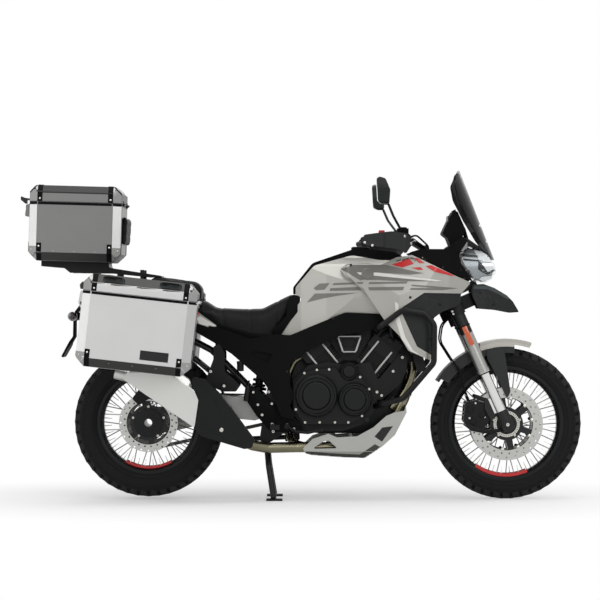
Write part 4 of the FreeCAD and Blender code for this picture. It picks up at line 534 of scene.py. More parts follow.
def repeatTree():
    # a small piece set on every point, turned by the facing and along of that point
    tree = bpy.data.node_groups.new("setOnPoints", "GeometryNodeTree")
    for name, kind, value in (("Points", "NodeSocketGeometry", None), ("Piece", "NodeSocketObject", None),
                              ("Finish", "NodeSocketMaterial", None), ("Size", "NodeSocketFloat", 1.0)):
        socket = tree.interface.new_socket(name, in_out="INPUT", socket_type=kind)
        if value is not None:
            socket.default_value = value
    tree.interface.new_socket("Geometry", in_out="OUTPUT", socket_type="NodeSocketGeometry")
    source = addNode(tree, "NodeGroupInput")
    template = addNode(tree, "GeometryNodeObjectInfo", {"transform_space": "ORIGINAL"}, Object=source.outputs["Piece"])
    facing = addNode(tree, "GeometryNodeInputNamedAttribute", {"data_type": "FLOAT_VECTOR", "Name": "facing"})
    along = addNode(tree, "GeometryNodeInputNamedAttribute", {"data_type": "FLOAT_VECTOR", "Name": "along"})
    scale = addNode(tree, "GeometryNodeInputNamedAttribute", {"data_type": "FLOAT", "Name": "size"})
    upright = addNode(tree, "FunctionNodeAlignRotationToVector", {"axis": "Z"}, Vector=facing.outputs[0])
    turned = addNode(tree, "FunctionNodeAlignRotationToVector", {"axis": "X", "pivot_axis": "Z"},
                     Rotation=upright.outputs[0], Vector=along.outputs[0])
    sized = addNode(tree, "ShaderNodeMath", {"operation": "MULTIPLY"}, i0=scale.outputs[0], i1=source.outputs["Size"])
    placed = addNode(tree, "GeometryNodeInstanceOnPoints", None, Points=source.outputs["Points"],
                     Instance=template.outputs["Geometry"], Rotation=turned.outputs[0], Scale=sized.outputs[0])
    real = addNode(tree, "GeometryNodeRealizeInstances", None, Geometry=placed.outputs[0])
    coloured = addNode(tree, "GeometryNodeSetMaterial", None, Geometry=real.outputs[0],
                       Material=source.outputs["Finish"])
    addNode(tree, "NodeGroupOutput", None, Geometry=coloured.outputs[0])
    return tree


setOnPoints = repeatTree()


def templatePiece(name, work):
    # a small piece that Geometry Nodes repeat; it is taken away again after use
    bmesh.ops.recalc_face_normals(work, faces=work.faces)
    return addObject(name, meshFrom(name, work))


def repeated(name, template, places, finishName, body="chassis", size=1.0, slotName=None):
    # places: point, facing, along and scale for each copy
    places = [p for p in places if p[0] is not None]
    mesh = bpy.data.meshes.new(name + "Points")
    mesh.from_pydata([tuple(p[0]) for p in places], [], [])
    for index, (key, kind) in enumerate((("facing", "FLOAT_VECTOR"), ("along", "FLOAT_VECTOR"), ("size", "FLOAT"))):
        attribute = mesh.attributes.new(key, kind, "POINT")
        for slot, place in enumerate(places):
            if kind == "FLOAT":
                attribute.data[slot].value = place[index + 1]
            else:
                attribute.data[slot].vector = place[index + 1]
    points = addObject(name + "Points", mesh)
    modifier = points.modifiers.new("setOnPoints", "NODES")
    modifier.node_group = setOnPoints
    values = {"Piece": template, "Finish": finish[finishName], "Size": size}
    for item in setOnPoints.interface.items_tree:
        if item.item_type == "SOCKET" and item.in_out == "INPUT" and item.name in values:
            modifier[item.identifier] = values[item.name]
    bpy.context.view_layer.update()
    made = evaluated(points)
    bpy.data.objects.remove(points)
    work = workFrom(made)
    bpy.data.meshes.remove(made)
    return addPiece(name, work, finishName, body, 35, slotName)


def stamped(name, work, places, finishName, body="chassis", size=1.0, slotName=None):
    # repeated from a template of its own, which is taken away again
    template = templatePiece(name + "Template", work)
    piece = repeated(name, template, places, finishName, body, size, slotName)
    bpy.data.objects.remove(template)
    return piece


def headTemplate(name, profile):
    # a screw or rivet head of radius 1
    work = bmesh.new()
    addTurned(work, profile, Vector(), (0, 0, 1), 12)
    return templatePiece(name, work)


socketScrew = headTemplate("socketScrewTemplate", [(1, -0.4), (1, 0.49), (0.85, 0.7), (0.5, 0.7), (0.42, 0.245),
                                                   (0, 0.21)])
domedRivet = headTemplate("domedRivetTemplate", [(1, -0.3), (1, 0.1), (0.8, 0.315), (0.4, 0.45), (0, 0.45)])

# tyres: a moulded carcass with three kinds of tread block round it
tyreSizes = {"front": {"axle": frontAxle, "outer": 328.6, "half": 55, "bead": 240, "rows": 46, "node": "front_tyre",
                       "body": "front_wheel"},
             "rear": {"axle": rearAxle, "outer": 324.6, "half": 74, "bead": 215, "rows": 44, "node": "rear_tyre",
                      "body": "rear_wheel"}}


def tyreCarcass(sizes):
    outer, half, bead = sizes["outer"] - 9, sizes["half"], sizes["bead"]
    side = [(bead + 1, half * 0.62), (bead + 8, half * 0.7), (bead + 12, half * 0.8), (bead + 22, half * 0.93),
            (bead + 34, half * 0.985), (outer - 32, half * 0.985), (outer - 20, half * 0.94), (outer - 9, half * 0.72),
            (outer - 2.5, half * 0.38), (outer, 0)]
    ring = side + [(r, -d) for r, d in reversed(side[:-1])]
    inside = [(r - 5 if r > bead + 14 else r - 0.5, d * 0.93) for r, d in reversed(ring)]
    work = bmesh.new()
    axle = sizes["axle"]
    points = [work.verts.new(axle + Vector((r / 1000, d / 1000, 0))) for r, d in ring + inside]
    edges = [work.edges.new((points[i], points[(i + 1) % len(points)])) for i in range(len(points))]
    bmesh.ops.spin(work, geom=points + edges, cent=axle, axis=(0, 1, 0), angle=2 * math.pi, steps=120,
                   use_merge=False, use_duplicate=False)
    bmesh.ops.remove_doubles(work, verts=work.verts, dist=0.00002)
    for side in (-1, 1):
        for radius in (bead + 30, outer - 30):
            rib = [(radius - 1.6, side * half * 0.975), (radius, side * (half * 0.985 + 1.2)),
                   (radius + 1.6, side * half * 0.975)]
            addTurned(work, rib, axle, (0, 1, 0), 120)
    return work


def treadPlaces(sizes, offset, sink, slant, scale, start, roll):
    # points round the tyre at one distance from its middle plane
    places = []
    count = sizes["rows"]
    for index in range(count):
        turn = 2 * math.pi * (index + start) / count
        outward = Vector((math.cos(turn), 0, math.sin(turn)))
        tilt = math.asin(max(-1, min(1, offset / sizes["half"] * roll)))
        facing = (outward * math.cos(tilt) + Vector((0, math.sin(tilt), 0))).normalized()
        around = Vector((-math.sin(turn), 0, math.cos(turn)))
        along = around + facing.cross(around) * slant
        place = sizes["axle"] + outward * (sizes["outer"] - sink) / 1000 + Vector((0, offset / 1000, 0))
        places.append((place, facing, along.normalized(), scale))
    return places


def treadBlock(name, length, width, notch=True):
    # top at height 0, reaching 8 mm down into the carcass
    work = bmesh.new()
    half, wide = length / 2, width / 2
    outline = [(-half, -wide * 0.8), (-half * 0.6, -wide), (half, -wide * 0.7), (half * 0.8, wide), (-half, wide)]
    if notch:
        outline = [(-half, -wide), (half * 0.7, -wide), (half, -wide * 0.3), (half * 0.7, wide), (half * 0.1, wide),
                   (0, wide * 0.45), (-half * 0.15, wide), (-half, wide)]
    addPlate(work, outline, -12, 0, "plan", 0.8)
    return templatePiece(name, work)


centreBlock = treadBlock("centreBlockTemplate", 34, 24)
middleBlock = treadBlock("middleBlockTemplate", 30, 22, False)
edgeBlock = treadBlock("edgeBlockTemplate", 29, 27, False)
# share of the half width, sink, slant, scale, the start on each side and how far the blocks lean outwards
treadRows = (("Centre", centreBlock, 0.13, 0.3, 0.25, 1.0, (0.0, 0.5), 0.75),
             ("Middle", middleBlock, 0.5, 4.0, 0.5, 0.95, (0.3, 0.8), 0.75),
             ("Edge", edgeBlock, 0.85, 15, 0.1, 1.0, (0.0, 0.5), 1.0))
for end, sizes in tyreSizes.items():
    carcass = addPiece(end + "TyreCarcass", tyreCarcass(sizes), "tyreRubber", sizes["body"], 40)
    half = sizes["half"]
    for label, block, share, sink, slant, scale, starts, roll in treadRows:
        places = []
        for side, start in zip((1, -1), starts):
            places += treadPlaces(sizes, side * half * share, sink, side * slant, scale, start, roll)
        # the tread blocks take the paler rubber, a painted highlight
        repeated(end + label + "Tread", block, places, "treadRubber", sizes["body"])
    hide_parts(sizes["node"])
for template in (centreBlock, middleBlock, edgeBlock):
    bpy.data.objects.remove(template)
print("tyres made")

# wheels: spoke nipples, arcs of red film, disc bolts, hub screws and sensor ring
wheelSizes = {"spokes": 36, "nippleMm": 2.0, "nippleAside": 9, "arcDegrees": 60, "arcSteps": 14, "filmThick": 1.6,
              "filmPlaces": (-35.2, 33.6), "sensorSlots": 40, "sensorRadius": 51, "sensorY": -74.9}
# template, body and size, then for each ring: axle, radius, count, first angle, distance aside and scale
screwRings = {
    "frontDiscBobbins": (domedRivet, "front_wheel", 7.5, [(frontAxle, 112, 10, 9, -72.6, 1.0),
                                                          (frontAxle, 112, 10, 9, 72.6, 1.0)]),
    "frontHubScrews": (socketScrew, "front_wheel", 6, [(frontAxle, 60, 5, 18, -72.6, 1.0),
                                                       (frontAxle, 60, 5, 18, 72.6, 1.0)]),
    "rearHubScrews": (socketScrew, "rear_wheel", 6, [(rearAxle, 70, 5, 18, -80.2, 1.0),
                                                     (rearAxle, 50, 6, 0, 127.2, 1.1)])}


def wheelPoint(axle, radius, degrees, y):
    turn = math.radians(degrees)
    return axle + Vector((math.cos(turn) * radius / 1000, y / 1000, math.sin(turn) * radius / 1000))


def arcOutline(axle, inner, outer, turns):
    # a band of a circle round an axle, in millimetres along x and z
    return [(axle.x * 1000 + radius * math.cos(math.radians(t)), axle.z * 1000 + radius * math.sin(math.radians(t)))
            for radius, angles in ((inner, turns), (outer, turns[::-1])) for t in angles]


for end, axle, radius, lip, middle, body in (("front", frontAxle, 222, 236, 264, "front_wheel"),
                                             ("rear", rearAxle, 196.5, 210, 270, "rear_wheel")):
    nipples = []
    for index in range(wheelSizes["spokes"]):
        degrees = 360 * (index + 0.5) / wheelSizes["spokes"]
        side = 1 if index % 2 else -1
        place = wheelPoint(axle, radius - 5, degrees, side * wheelSizes["nippleAside"])
        nipples.append((place, (axle - place).normalized(), Vector((0, 1, 0)), 1.0))
    work = bmesh.new()
    addTurned(work, [(1, -6), (1, 4), (0.75, 5.5), (0.7, 14), (0, 14)], Vector(), (0, 0, 1), 8)
    stamped(end + "SpokeNipples", work, nipples, "boltSteel", body, wheelSizes["nippleMm"])
    work = bmesh.new()
    first = middle - wheelSizes["arcDegrees"] / 2
    turns = [first + wheelSizes["arcDegrees"] * k / wheelSizes["arcSteps"] for k in range(wheelSizes["arcSteps"] + 1)]
    for y in wheelSizes["filmPlaces"]:
        addPlate(work, arcOutline(axle, radius - 4, lip + 3, turns), y, y + wheelSizes["filmThick"], "side", 0)
    addPiece(end + "RimFilm", work, "redFilm", body, slotName="black_rim")


def ringOfScrews(axle, radius, count, start, y, scale):
    return [(wheelPoint(axle, radius, 360 * k / count + start, y), Vector((0, -1 if y < 0 else 1, 0)),
             Vector((1, 0, 0)), scale) for k in range(count)]


for name, (template, body, sizeMm, rings) in screwRings.items():
    repeated(name, template, [place for ring in rings for place in ringOfScrews(*ring)], "boltSteel", body, sizeMm)
work = bmesh.new()
addTurned(work, [(45, 73.2), (57, 73.2), (57, 74.8), (45, 74.8), (45, 73.2)], frontAxle, (0, -1, 0), 72)
addPiece("frontSensorRing", work, "boltSteel", "front_wheel")
work = bmesh.new()
addBlock(work, Vector(), (7, 2.4, 0.8), 0)
slots = []
for k in range(wheelSizes["sensorSlots"]):
    turn = 2 * math.pi * k / wheelSizes["sensorSlots"]
    place = wheelPoint(frontAxle, wheelSizes["sensorRadius"], math.degrees(turn), wheelSizes["sensorY"])
    slots.append((place, Vector((0, -1, 0)), Vector((math.cos(turn), 0, math.sin(turn))), 1.0))
stamped("frontSensorSlots", work, slots, "blackBolt", "front_wheel")
print("wheels fitted")

# fork: reflectors, axle caps, clamp screws, dust seals and caliper screws
forkFittings = {"legY": 105, "reflectorY": 133.5, "reflector": (22, 5, 88), "reflectorAt": 421, "screwMm": 5,
                "capAt": 699, "leanDegrees": -24, "clampScrewY": 139.5, "axleScrewY": 137.2, "bracket": (84, 90),
                "bossY": 82, "seals": ((240, 246, 26), (462, 470, 29.5), (536, 541, 29.5))}
work = bmesh.new()
for side in (-1, 1):
    addBlock(work, onFork(forkFittings["reflectorAt"], 0, side * forkFittings["reflectorY"]),
             forkFittings["reflector"], 2.5, Matrix.Rotation(math.radians(forkFittings["leanDegrees"]), 4, "Y"))
addPiece("forkReflectors", work, "amberLens", "fork")
work = bmesh.new()
for y in (-forkFittings["legY"], forkFittings["legY"]):
    for low, high, radius in forkFittings["seals"]:
        tall = high - low
        addTurned(work, [(radius - 3, 0), (radius, 1.5), (radius, tall - 1.5), (radius - 3, tall), (radius - 3, 0)],
                  onFork(low, 0, y), forkUp, 40)
addPiece("forkSeals", work, "gripRubber", "fork")
work = bmesh.new()
for y in (-forkFittings["legY"], forkFittings["legY"]):
    addTurned(work, [(0, 0), (24, 0), (24, 3), (18, 5), (16, 5), (16, 9), (7, 9), (7, 5), (0, 5)],
              onFork(forkFittings["capAt"], 0, y), forkUp, 36)
addPiece("forkTopCaps", work, "barMetal", "fork")
clampScrews = []
for side in (-1, 1):
    for along, forward in ((534, -20), (546, -20), (676, 22)):
        clampScrews.append((onFork(along, forward, side * forkFittings["clampScrewY"]), Vector((0, side, 0)),
                            forkForward, 1.0))
    for x, z in ((760, 420), (800, 360), (734, 355)):
        clampScrews.append((*surfacePoint(x, z, "right" if side < 0 else "left", ["front_calipers"]), forkUp, 1.0))
    clampScrews.append((mm(896, side * forkFittings["axleScrewY"], 329), Vector((0, side, 0)), forkForward, 1.7))
repeated("forkScrews", socketScrew, clampScrews, "boltSteel", "fork", forkFittings["screwMm"])
work = bmesh.new()
for side in (-1, 1):
    low, high = sorted(side * y for y in forkFittings["bracket"])
    addPlate(work, [(716, 318), (740, 300), (800, 288), (888, 296), (888, 310), (800, 306), (744, 322), (728, 330)],
             low, high)
    addPlate(work, [(752, 442), (800, 424), (862, 372), (872, 384), (812, 440), (760, 456)], low, high)
    for x, z in ((738, 392), (752, 342), (790, 372)):
        addTurned(work, [(0, 0), (16, 0), (16, 5), (13, 7), (9, 7), (8, 5), (0, 5)],
                  mm(x, side * forkFittings["bossY"], z), (0, side, 0), 28)
addPiece("caliperBrackets", work, "castBlack", "fork")
print("fork fitted")

# cases: edge columns with a painted highlight, lids and lower bands with painted shade, seam bands, straps, rivets,
# handles and the bare label
pannierSizes = {"middle": (-677.5, 885.5), "tilt": 6.3, "half": 243, "body": 320, "lid": 74, "bevel": 38}
topBoxSizes = {"middle": (-971, 1289.5), "tilt": 1.6, "half": 199, "body": 254, "lid": 71, "bevel": 36}
trimSizes = {"rivetMm": 4.2, "smallRivetMm": 2.52, "strapWide": 22, "strapTall": 76, "cornerTall": 62, "seamLow": 12.5,
             "strapThick": 2.0, "bandThick": 1.6, "sheetThick": 0.8, "lift": 0.05, "rivetRise": 0.0018,
             "handlePlaces": (-115, 125), "handle": (70, 13, 9), "handleY": {"right": -491.5, "left": 491.5}}


def caseOutline(sizes, outline):
    # an outline in a case's own frame, set in the frame of the object
    turn = math.radians(sizes["tilt"])
    return [(sizes["middle"][0] + x * math.cos(turn) + z * math.sin(turn),
             sizes["middle"][1] - x * math.sin(turn) + z * math.cos(turn)) for x, z in outline]


def rectangle(x0, z0, x1, z1):
    return [(x0, z0), (x1, z0), (x1, z1), (x0, z1)]


def caseRivets(name, sizes, views, nodeName, body, spots, rise, finishName, rivetMm):
    places = []
    for view in views:
        for a, b in caseOutline(sizes, spots):
            place, normal = surfacePoint(a, b, view, [nodeName])
            if place is not None:
                places.append((place + normal * rise, normal, Vector((1, 0, 0)), 1.0))
    repeated(name, domedRivet, places, finishName, body, rivetMm)


def caseTrim(prefix, sizes, views, bodyNode, lidNode, columnFinish, bandShadeFinish, stripFinish, faceRivets):
    half, low, lid, bevel = sizes["half"], -sizes["body"], sizes["lid"], sizes["bevel"]
    inner, edge, strap = half - bevel, half - 1, trimSizes["strapWide"]
    foot, corner = low + trimSizes["strapTall"], low + trimSizes["cornerTall"]
    sheet, band, thickStrap = trimSizes["sheetThick"], trimSizes["bandThick"], trimSizes["strapThick"]
    parts = {
        # the rear corner columns: a painted highlight
        "EdgeColumns": ("edgeAluminium", bodyNode, sheet, [rectangle(-edge, low + bevel + 2, -inner, -13)]),
        # the front corner columns: the case's own sheet on the panniers, a painted highlight on the top box
        "FrontColumns": (columnFinish, bodyNode, sheet, [rectangle(inner, low + bevel + 2, edge, -13)]),
        # the lower band: a painted shade on the bevel facing down
        "LowerBand": (bandShadeFinish, bodyNode, sheet, [rectangle(-inner, low + 1, inner, low + bevel)]),
        "SeamBand": ("blackPlastic", bodyNode, band, [rectangle(-edge, -trimSizes["seamLow"], edge, -1)]),
        "LowerStraps": ("blackPlastic", bodyNode, thickStrap, [rectangle(-inner, low + 1, -inner + strap, foot),
                                                               rectangle(inner - strap, low + 1, inner, foot)]),
        "LowerCorners": ("castSilver", bodyNode, band, [[(s * edge, low + bevel), (s * inner, low + 1),
                                                         (s * inner, corner), (s * edge, corner)] for s in (-1, 1)]),
        "LidStrip": (stripFinish, lidNode, sheet, [rectangle(-inner, 2, inner, lid - bevel + 2)]),
        "LidStraps": ("blackPlastic", lidNode, thickStrap, [rectangle(-inner, 1, -inner + strap, lid - 1),
                                                            rectangle(inner - strap, 1, inner, lid - 1)]),
        "LidCorners": ("castSilver", lidNode, 1.4, [[(s * edge, 2), (s * inner, 2), (s * inner, lid - 2),
                                                     (s * edge, lid - bevel)] for s in (-1, 1)])}
    for label, (finishName, nodeName, thick, outlines) in parts.items():
        lay = (thick, trimSizes["lift"], 12, 22)
        laidPiece(prefix + label, finishName, [([nodeName], lay, [caseOutline(sizes, o) for o in outlines])],
                  views=views, body=lidNode if nodeName == lidNode else "chassis")
    caseRivets(prefix + "BodyRivets", sizes, views, bodyNode, "chassis",
               [(-inner + 11, corner), (inner - 11, corner), (-half + 14, corner - 14), (half - 14, corner - 14)],
               trimSizes["rivetRise"], "boltSteel", trimSizes["rivetMm"])
    caseRivets(prefix + "LidRivets", sizes, views, lidNode, lidNode, [(-inner + 11, 13), (inner - 11, 13)],
               trimSizes["rivetRise"], "boltSteel", trimSizes["rivetMm"])
    caseRivets(prefix + "FaceRivets", sizes, views, bodyNode, "chassis", faceRivets, 0, "castSilver",
               trimSizes["smallRivetMm"])


for side in ("right", "left"):
    lidNode = side + "_pannier_lid"
    caseTrim(side + "Pannier", pannierSizes, [side], side + "_pannier_body", lidNode, "columnAluminium",
             "bandAluminium", "caseAluminium", [(-100, -296), (0, -296), (100, -296)])
    laidPiece(side + "PannierHandlePlates", "edgePlastic",
              [([lidNode], (1.5, 0.05, 12, 30), [caseOutline(pannierSizes, rectangle(x - 43, 45, x + 43, 64))
                                                 for x in trimSizes["handlePlaces"]])], views=[side], body=lidNode)
    work = bmesh.new()
    for x in trimSizes["handlePlaces"]:
        (a, b), = caseOutline(pannierSizes, [(x, 64)])
        addBlock(work, mm(a, trimSizes["handleY"][side], b + 1), trimSizes["handle"], 3,
                 Matrix.Rotation(math.radians(pannierSizes["tilt"]), 4, "Y"))
    addPiece(side + "PannierHandles", work, "gripRubber", lidNode)
caseTrim("topBox", topBoxSizes, ["right", "left"], "top_box_body", "top_box_lid", "edgeAluminium", "lidAluminium",
         "boxAluminium", [(-90, -212), (0, -212), (90, -212)])
laidPiece("pannierLabel", "blackFilm",
          [(["right_pannier_body"], (1.2,), [caseOutline(pannierSizes, rectangle(28, -266, 148, -226))])],
          views=["right"])
lidStraps = {"right_pannier_lid": ("rightPannierTopStraps", pannierSizes, (-198, 190), -482, -300),
             "left_pannier_lid": ("leftPannierTopStraps", pannierSizes, (-198, 190), 300, 482),
             "top_box_lid": ("topBoxTopStraps", topBoxSizes, (-160, 141), -196, 196)}
for lidNode, (name, sizes, starts, low, high) in lidStraps.items():
    outlines = [rectangle(sizes["middle"][0] + x, low, sizes["middle"][0] + x + trimSizes["strapWide"], high)
                for x in starts]
    laidPiece(name, "blackPlastic", [([lidNode], (trimSizes["strapThick"], 0.05, 12, 20), outlines)],
              views=["top"], body=lidNode)
endBands = {"right_pannier_body": ("rightPannierEndBands", [(-461, 850, -303, 863), (-461, 600, -440, 655),
                                                            (-320, 600, -303, 655)]),
            "left_pannier_body": ("leftPannierEndBands", [(329, 850, 487, 863), (329, 600, 350, 655),
                                                          (470, 600, 487, 655)]),
            "top_box_body": ("topBoxEndBands", [(-186, 1274, 186, 1286), (-186, 1052, -164, 1120),
                                                (164, 1052, 186, 1120)])}
for bodyNode, (name, corners) in endBands.items():
    laidPiece(name, "blackPlastic",
              [([bodyNode], (trimSizes["bandThick"], 0.05, 12, 20), [rectangle(*c) for c in corners])],
              views=["rear", "front"])
work = bmesh.new()
for y, z, bodyNode in ((-395, 820, "right_pannier_body"), (395, 820, "left_pannier_body"), (0, 1250, "top_box_body")):
    place, normal = surfacePoint(y, z, "rear", [bodyNode])
    addTurned(work, [(0, -2), (10, -2), (10, 3), (8, 4), (3, 4), (2.5, 2), (0, 2)], place, normal, 24)
addPiece("caseLocks", work, "boltSteel")
print("cases trimmed")

# tank and fairing graphics: printed film in plain stripes, the same on both sides
filmSizes = {"thick": 0.25, "lift": 0.35, "redLift": 1.4, "step": 5, "jump": 16, "redJump": 30}
filmShapes = {
    "greyFilm": [[(170, 1006), (200, 1025), (288, 1028), (368, 1020), (529, 984), (470, 978), (332, 987), (241, 988),
                  (270, 957), (255, 953)],
                 [(250, 978), (317, 973), (434, 962), (580, 949), (434, 950), (270, 957)],
                 [(54, 920), (80, 940), (124, 942), (102, 913), (65, 911)],
                 [(142, 942), (270, 947), (265, 938), (136, 933)], [(127, 920), (259, 926), (277, 911), (124, 908)],
                 [(295, 946), (460, 949), (454, 940), (290, 937)], [(288, 924), (445, 926), (438, 911), (295, 910)],
                 [(478, 935), (609, 926), (682, 920), (609, 911), (467, 913), (474, 921), (580, 920), (474, 929)],
                 [(25, 858), (60, 897), (251, 900), (157, 887), (98, 876)]],
    "paleFilm": [[(241, 988), (332, 987), (470, 970), (609, 953), (580, 950), (434, 962), (317, 974), (255, 977)]],
    "redFilm": [[(390, 1021), (434, 1037), (467, 1047), (486, 1025), (437, 1009)],
                [(486, 1051), (507, 1048), (533, 1029), (511, 1027)],
                [(474, 1008), (514, 1011), (527, 999), (506, 999)],
                [(537, 1015), (561, 1019), (664, 974), (650, 973), (576, 990)]]}
panelNodes = ["fuel_tank", "fairings", "cockpit_cowl"]
laidPiece("fairingTopPanel", "silverPaint",
          [(panelNodes, (0.3, 0.05, 6, 30), [[(372, 1016), (428, 1053), (520, 1056), (566, 1022), (540, 1008),
                                              (470, 1008)]])], 40)
for finishName, outlines in filmShapes.items():
    red = finishName == "redFilm"
    lay = (filmSizes["thick"], filmSizes["redLift" if red else "lift"], filmSizes["step"],
           filmSizes["redJump" if red else "jump"])
    laidPiece(finishName + "Stripes", finishName, [(panelNodes, lay, outlines)], 20)
laidPiece("tailFilm", "redFilm",
          [(["tail_cowl"], (0.3, 0.3, 3, 40), [[(-478, 838), (-424, 810), (-478, 800)]])], 20)
laidPiece("tailPaleFilm", "paleFilm",
          [(["tail_cowl"], (0.3, 0.3, 4, 40), [[(-452, 790), (-436, 799), (-370, 760), (-374, 750),
                                                (-440, 766)]])], 20)
work = bmesh.new()
for view in ("right", "left"):
    place, normal = surfacePoint(287, 981, view, panelNodes)
    addTurned(work, [(0, -1), (26, -1), (26, 2), (23, 3.2), (19, 2.4), (15, 3.0), (0, 3.0)], place, normal, 40)
addPiece("tankRoundels", work, "greyFilm")
# a painted highlight on the radiator shroud's blade, in the same paint made lighter
laidPiece("bladeHighlightFilm", "paleSilverPaint",
          [(["fairings"], (0.3, 0.2, 4, 25), [[(404, 862), (418, 852), (424, 790), (448, 711), (482, 652), (540, 616),
                                               (552, 604), (480, 640), (432, 702), (408, 780)]])], 40)

# painted shade in the recesses of the beak, shrouds and skid plate, the beak's slats, a painted highlight on the
# beak's top edge, painted shade under the skid plate's fold, and the muffler guard's relief
# black film laid as a painted shade in the shroud notch, the beak's recess and the skid plate's cut-out
laidPiece("panelRecesses", "blackFilm",
          [(["radiator_shrouds", "fairings"], (0.3, 0.2, 4, 12), [[(522, 884), (590, 866), (588, 859), (522, 877)],
                                                                  [(590, 866), (540, 820), (532, 824), (580, 862)]]),
           (["beak"], (0.3, 0.2, 5, 20), [[(748, 894), (771, 901), (811, 896), (866, 869), (852, 851), (784, 857),
                                           (757, 872)]]),
           (["skid_plate"], (0.4, 0.2, 6, 25), [[(318, 279), (352, 318), (398, 324), (350, 256)]])])
laidPiece("beakSlats", "darkPlastic",
          [(["beak"], (2.0, 0.6, 4, 20), [[(762 + 23 * k, 892 - 4 * k), (770 + 23 * k, 893 - 5 * k),
                                           (792 + 20 * k, 862 - 2 * k), (784 + 20 * k, 862 - 2 * k)]
                                          for k in range(4)])])
# a painted highlight along the beak's top edge, in the paler copy of its plastic
laidPiece("beakTopEdge", "edgePlastic",
          [(["beak"], (0.5, 0.1, 5, 25), [[(756, 932), (824, 929), (872, 906), (912, 876), (902, 872), (860, 896),
                                           (812, 916), (748, 918)]])], slotName="dark_plastic")
# a painted shade on the skid plate's underside, below the fold
laidPiece("skidFold", "foldAluminium",
          [(["skid_plate"], (0.4, 0.1, 4, 90), [[(10, 217), (127, 206), (254, 200), (320, 246), (352, 229), (281, 185),
                                                 (171, 185), (40, 192)]])])
laidPiece("guardRelief", "guardPlastic",
          [(["muffler_guard"], (2.0, 0.1, 8, 30), [[(-452, 492), (-416, 500), (-380, 452), (-318, 330), (-246, 252),
                                                    (-300, 262), (-398, 318), (-440, 400)]])], views=["right"])
work = bmesh.new()
place, normal = surfacePoint(-340, 313, "right", ["muffler_guard"])
addTurned(work, [(0, 0), (9, 0), (9, 4), (7, 6), (4, 6), (3.4, 3), (0, 3)], place + normal * 0.001, normal, 24)
addPiece("guardScrew", work, "boltSteel")

# dark castings, pans and tubes between the engine, the frame and the seat
innerSizes = {"tubeMm": 11, "stayMm": 8, "headerMm": 15, "wideHeaderMm": 18.5, "huggerInner": 344, "huggerOuter": 350,
              "plateLow": 141, "plateHigh": 149}
castings = [(52, 4, [(-112, 470), (-112, 640), (-60, 690), (30, 690), (60, 560), (20, 470), (0, 345), (-60, 345),
                     (-80, 400)]),
            (38, 4, [(-10, 560), (30, 700), (120, 735), (300, 752), (372, 740), (440, 700), (446, 640), (430, 560),
                     (415, 470), (380, 430), (300, 400), (200, 560)]),
            (58, 4, [(-20, 345), (-14, 296), (80, 288), (250, 288), (340, 300), (400, 360), (428, 430), (400, 450),
                     (300, 420), (100, 352)]),
            (62, 3, [(384, 700), (438, 690), (492, 622), (520, 600), (500, 560), (466, 572), (430, 612), (396, 640)]),
            (46, 3, [(372, 566), (440, 566), (468, 540), (452, 482), (418, 440), (360, 430), (336, 500)]),
            (60, 3, [(345, 768), (394, 768), (398, 726), (345, 728)])]
work = bmesh.new()
for half, bevel, outline in castings:
    addPlate(work, outline, -half, half, "side", bevel)
addPiece("innerCastings", work, "engineBlack")
work = bmesh.new()
addPlate(work, [(-52, 882), (-30, 893), (-2, 886), (-6, 826), (-44, 780), (-84, 722), (-118, 716), (-122, 738),
                (-64, 800)], -126, 126, "side", 2)
for side in (-1, 1):
    low, high = sorted((side * innerSizes["plateLow"], side * innerSizes["plateHigh"]))
    addPlate(work, [(-236, 498), (-190, 486), (-133, 432), (-72, 396), (-4, 336), (8, 300), (-52, 296), (-133, 300),
                    (-194, 370), (-240, 440)], low, high, "side", 2)
addPlate(work, arcOutline(rearAxle, innerSizes["huggerInner"], innerSizes["huggerOuter"], range(14, 53, 3)),
         -82, 82, "side", 1)
addPiece("innerPans", work, "blackPlastic")
work = bmesh.new()
for side in (-1, 1):
    addBar(work, [(-486, 118, 700), (-388, 118, 648), (-279, 122, 542), (-225, 126, 486)], innerSizes["tubeMm"],
           side=side)
    addBar(work, [(-470, 112, 618), (-400, 114, 560), (-330, 116, 505)], innerSizes["stayMm"], side=side)
addTurned(work, [(0, 0), (12, 2), (12, 62), (9, 66), (4, 66), (4, 92), (0, 92)], mm(-238, -152, 430), (0.15, 0, 1), 20)
addTurned(work, [(0, 0), (15, 2), (15, 34), (16, 36), (16, 44), (0, 46)], mm(-262, -150, 560), (0, 0, 1), 24)
plateScrews = [(mm(x, side * (innerSizes["plateHigh"] + 0.4), z), Vector((0, side, 0)), Vector((1, 0, 0)), s)
               for side in (-1, 1)
               for x, z, s in ((-206, 470, 1), (-186, 416, 1), (-168, 372, 1.1), (-124, 330, 1.5), (-74, 376, 1),
                               (-126, 420, 1), (-30, 312, 1), (-60, 330, 1))]
repeated("sidePlateScrews", socketScrew, plateScrews, "boltSteel", "chassis", 6)
addPiece("rearSubframe", work, "powderCoat")
work = bmesh.new()
for side in (-1, 1):
    addBar(work, [(470, 24, 610), (484, 26, 540), (470, 28, 460), (430, 30, 392), (380, 32, 350)],
           innerSizes["headerMm"], 16, side)
    addBar(work, [(484, 58, 596), (486, 64, 566), (477, 68, 524), (459, 70, 480), (431, 70, 434), (396, 66, 398)],
           innerSizes["wideHeaderMm"], 20, side)
addPiece("innerHeaders", work, "exhaustSteel")
laidPiece("lampBezel", "bezelPlastic",
          [(["cockpit_cowl", "headlight"], (0.6, 0.8, 5, 26),
            [[(714, 1151), (749, 1136), (736, 1116), (702, 1070), (699, 1044), (714, 1009), (741, 970), (768, 947),
              (760, 944), (731, 969), (700, 1018), (686, 1052), (689, 1076), (706, 1102), (719, 1123)]])], 20)
cowl, covers, shrouds, beak = ["cockpit_cowl"], ["frame_covers"], ["radiator_shrouds"], ["beak"]
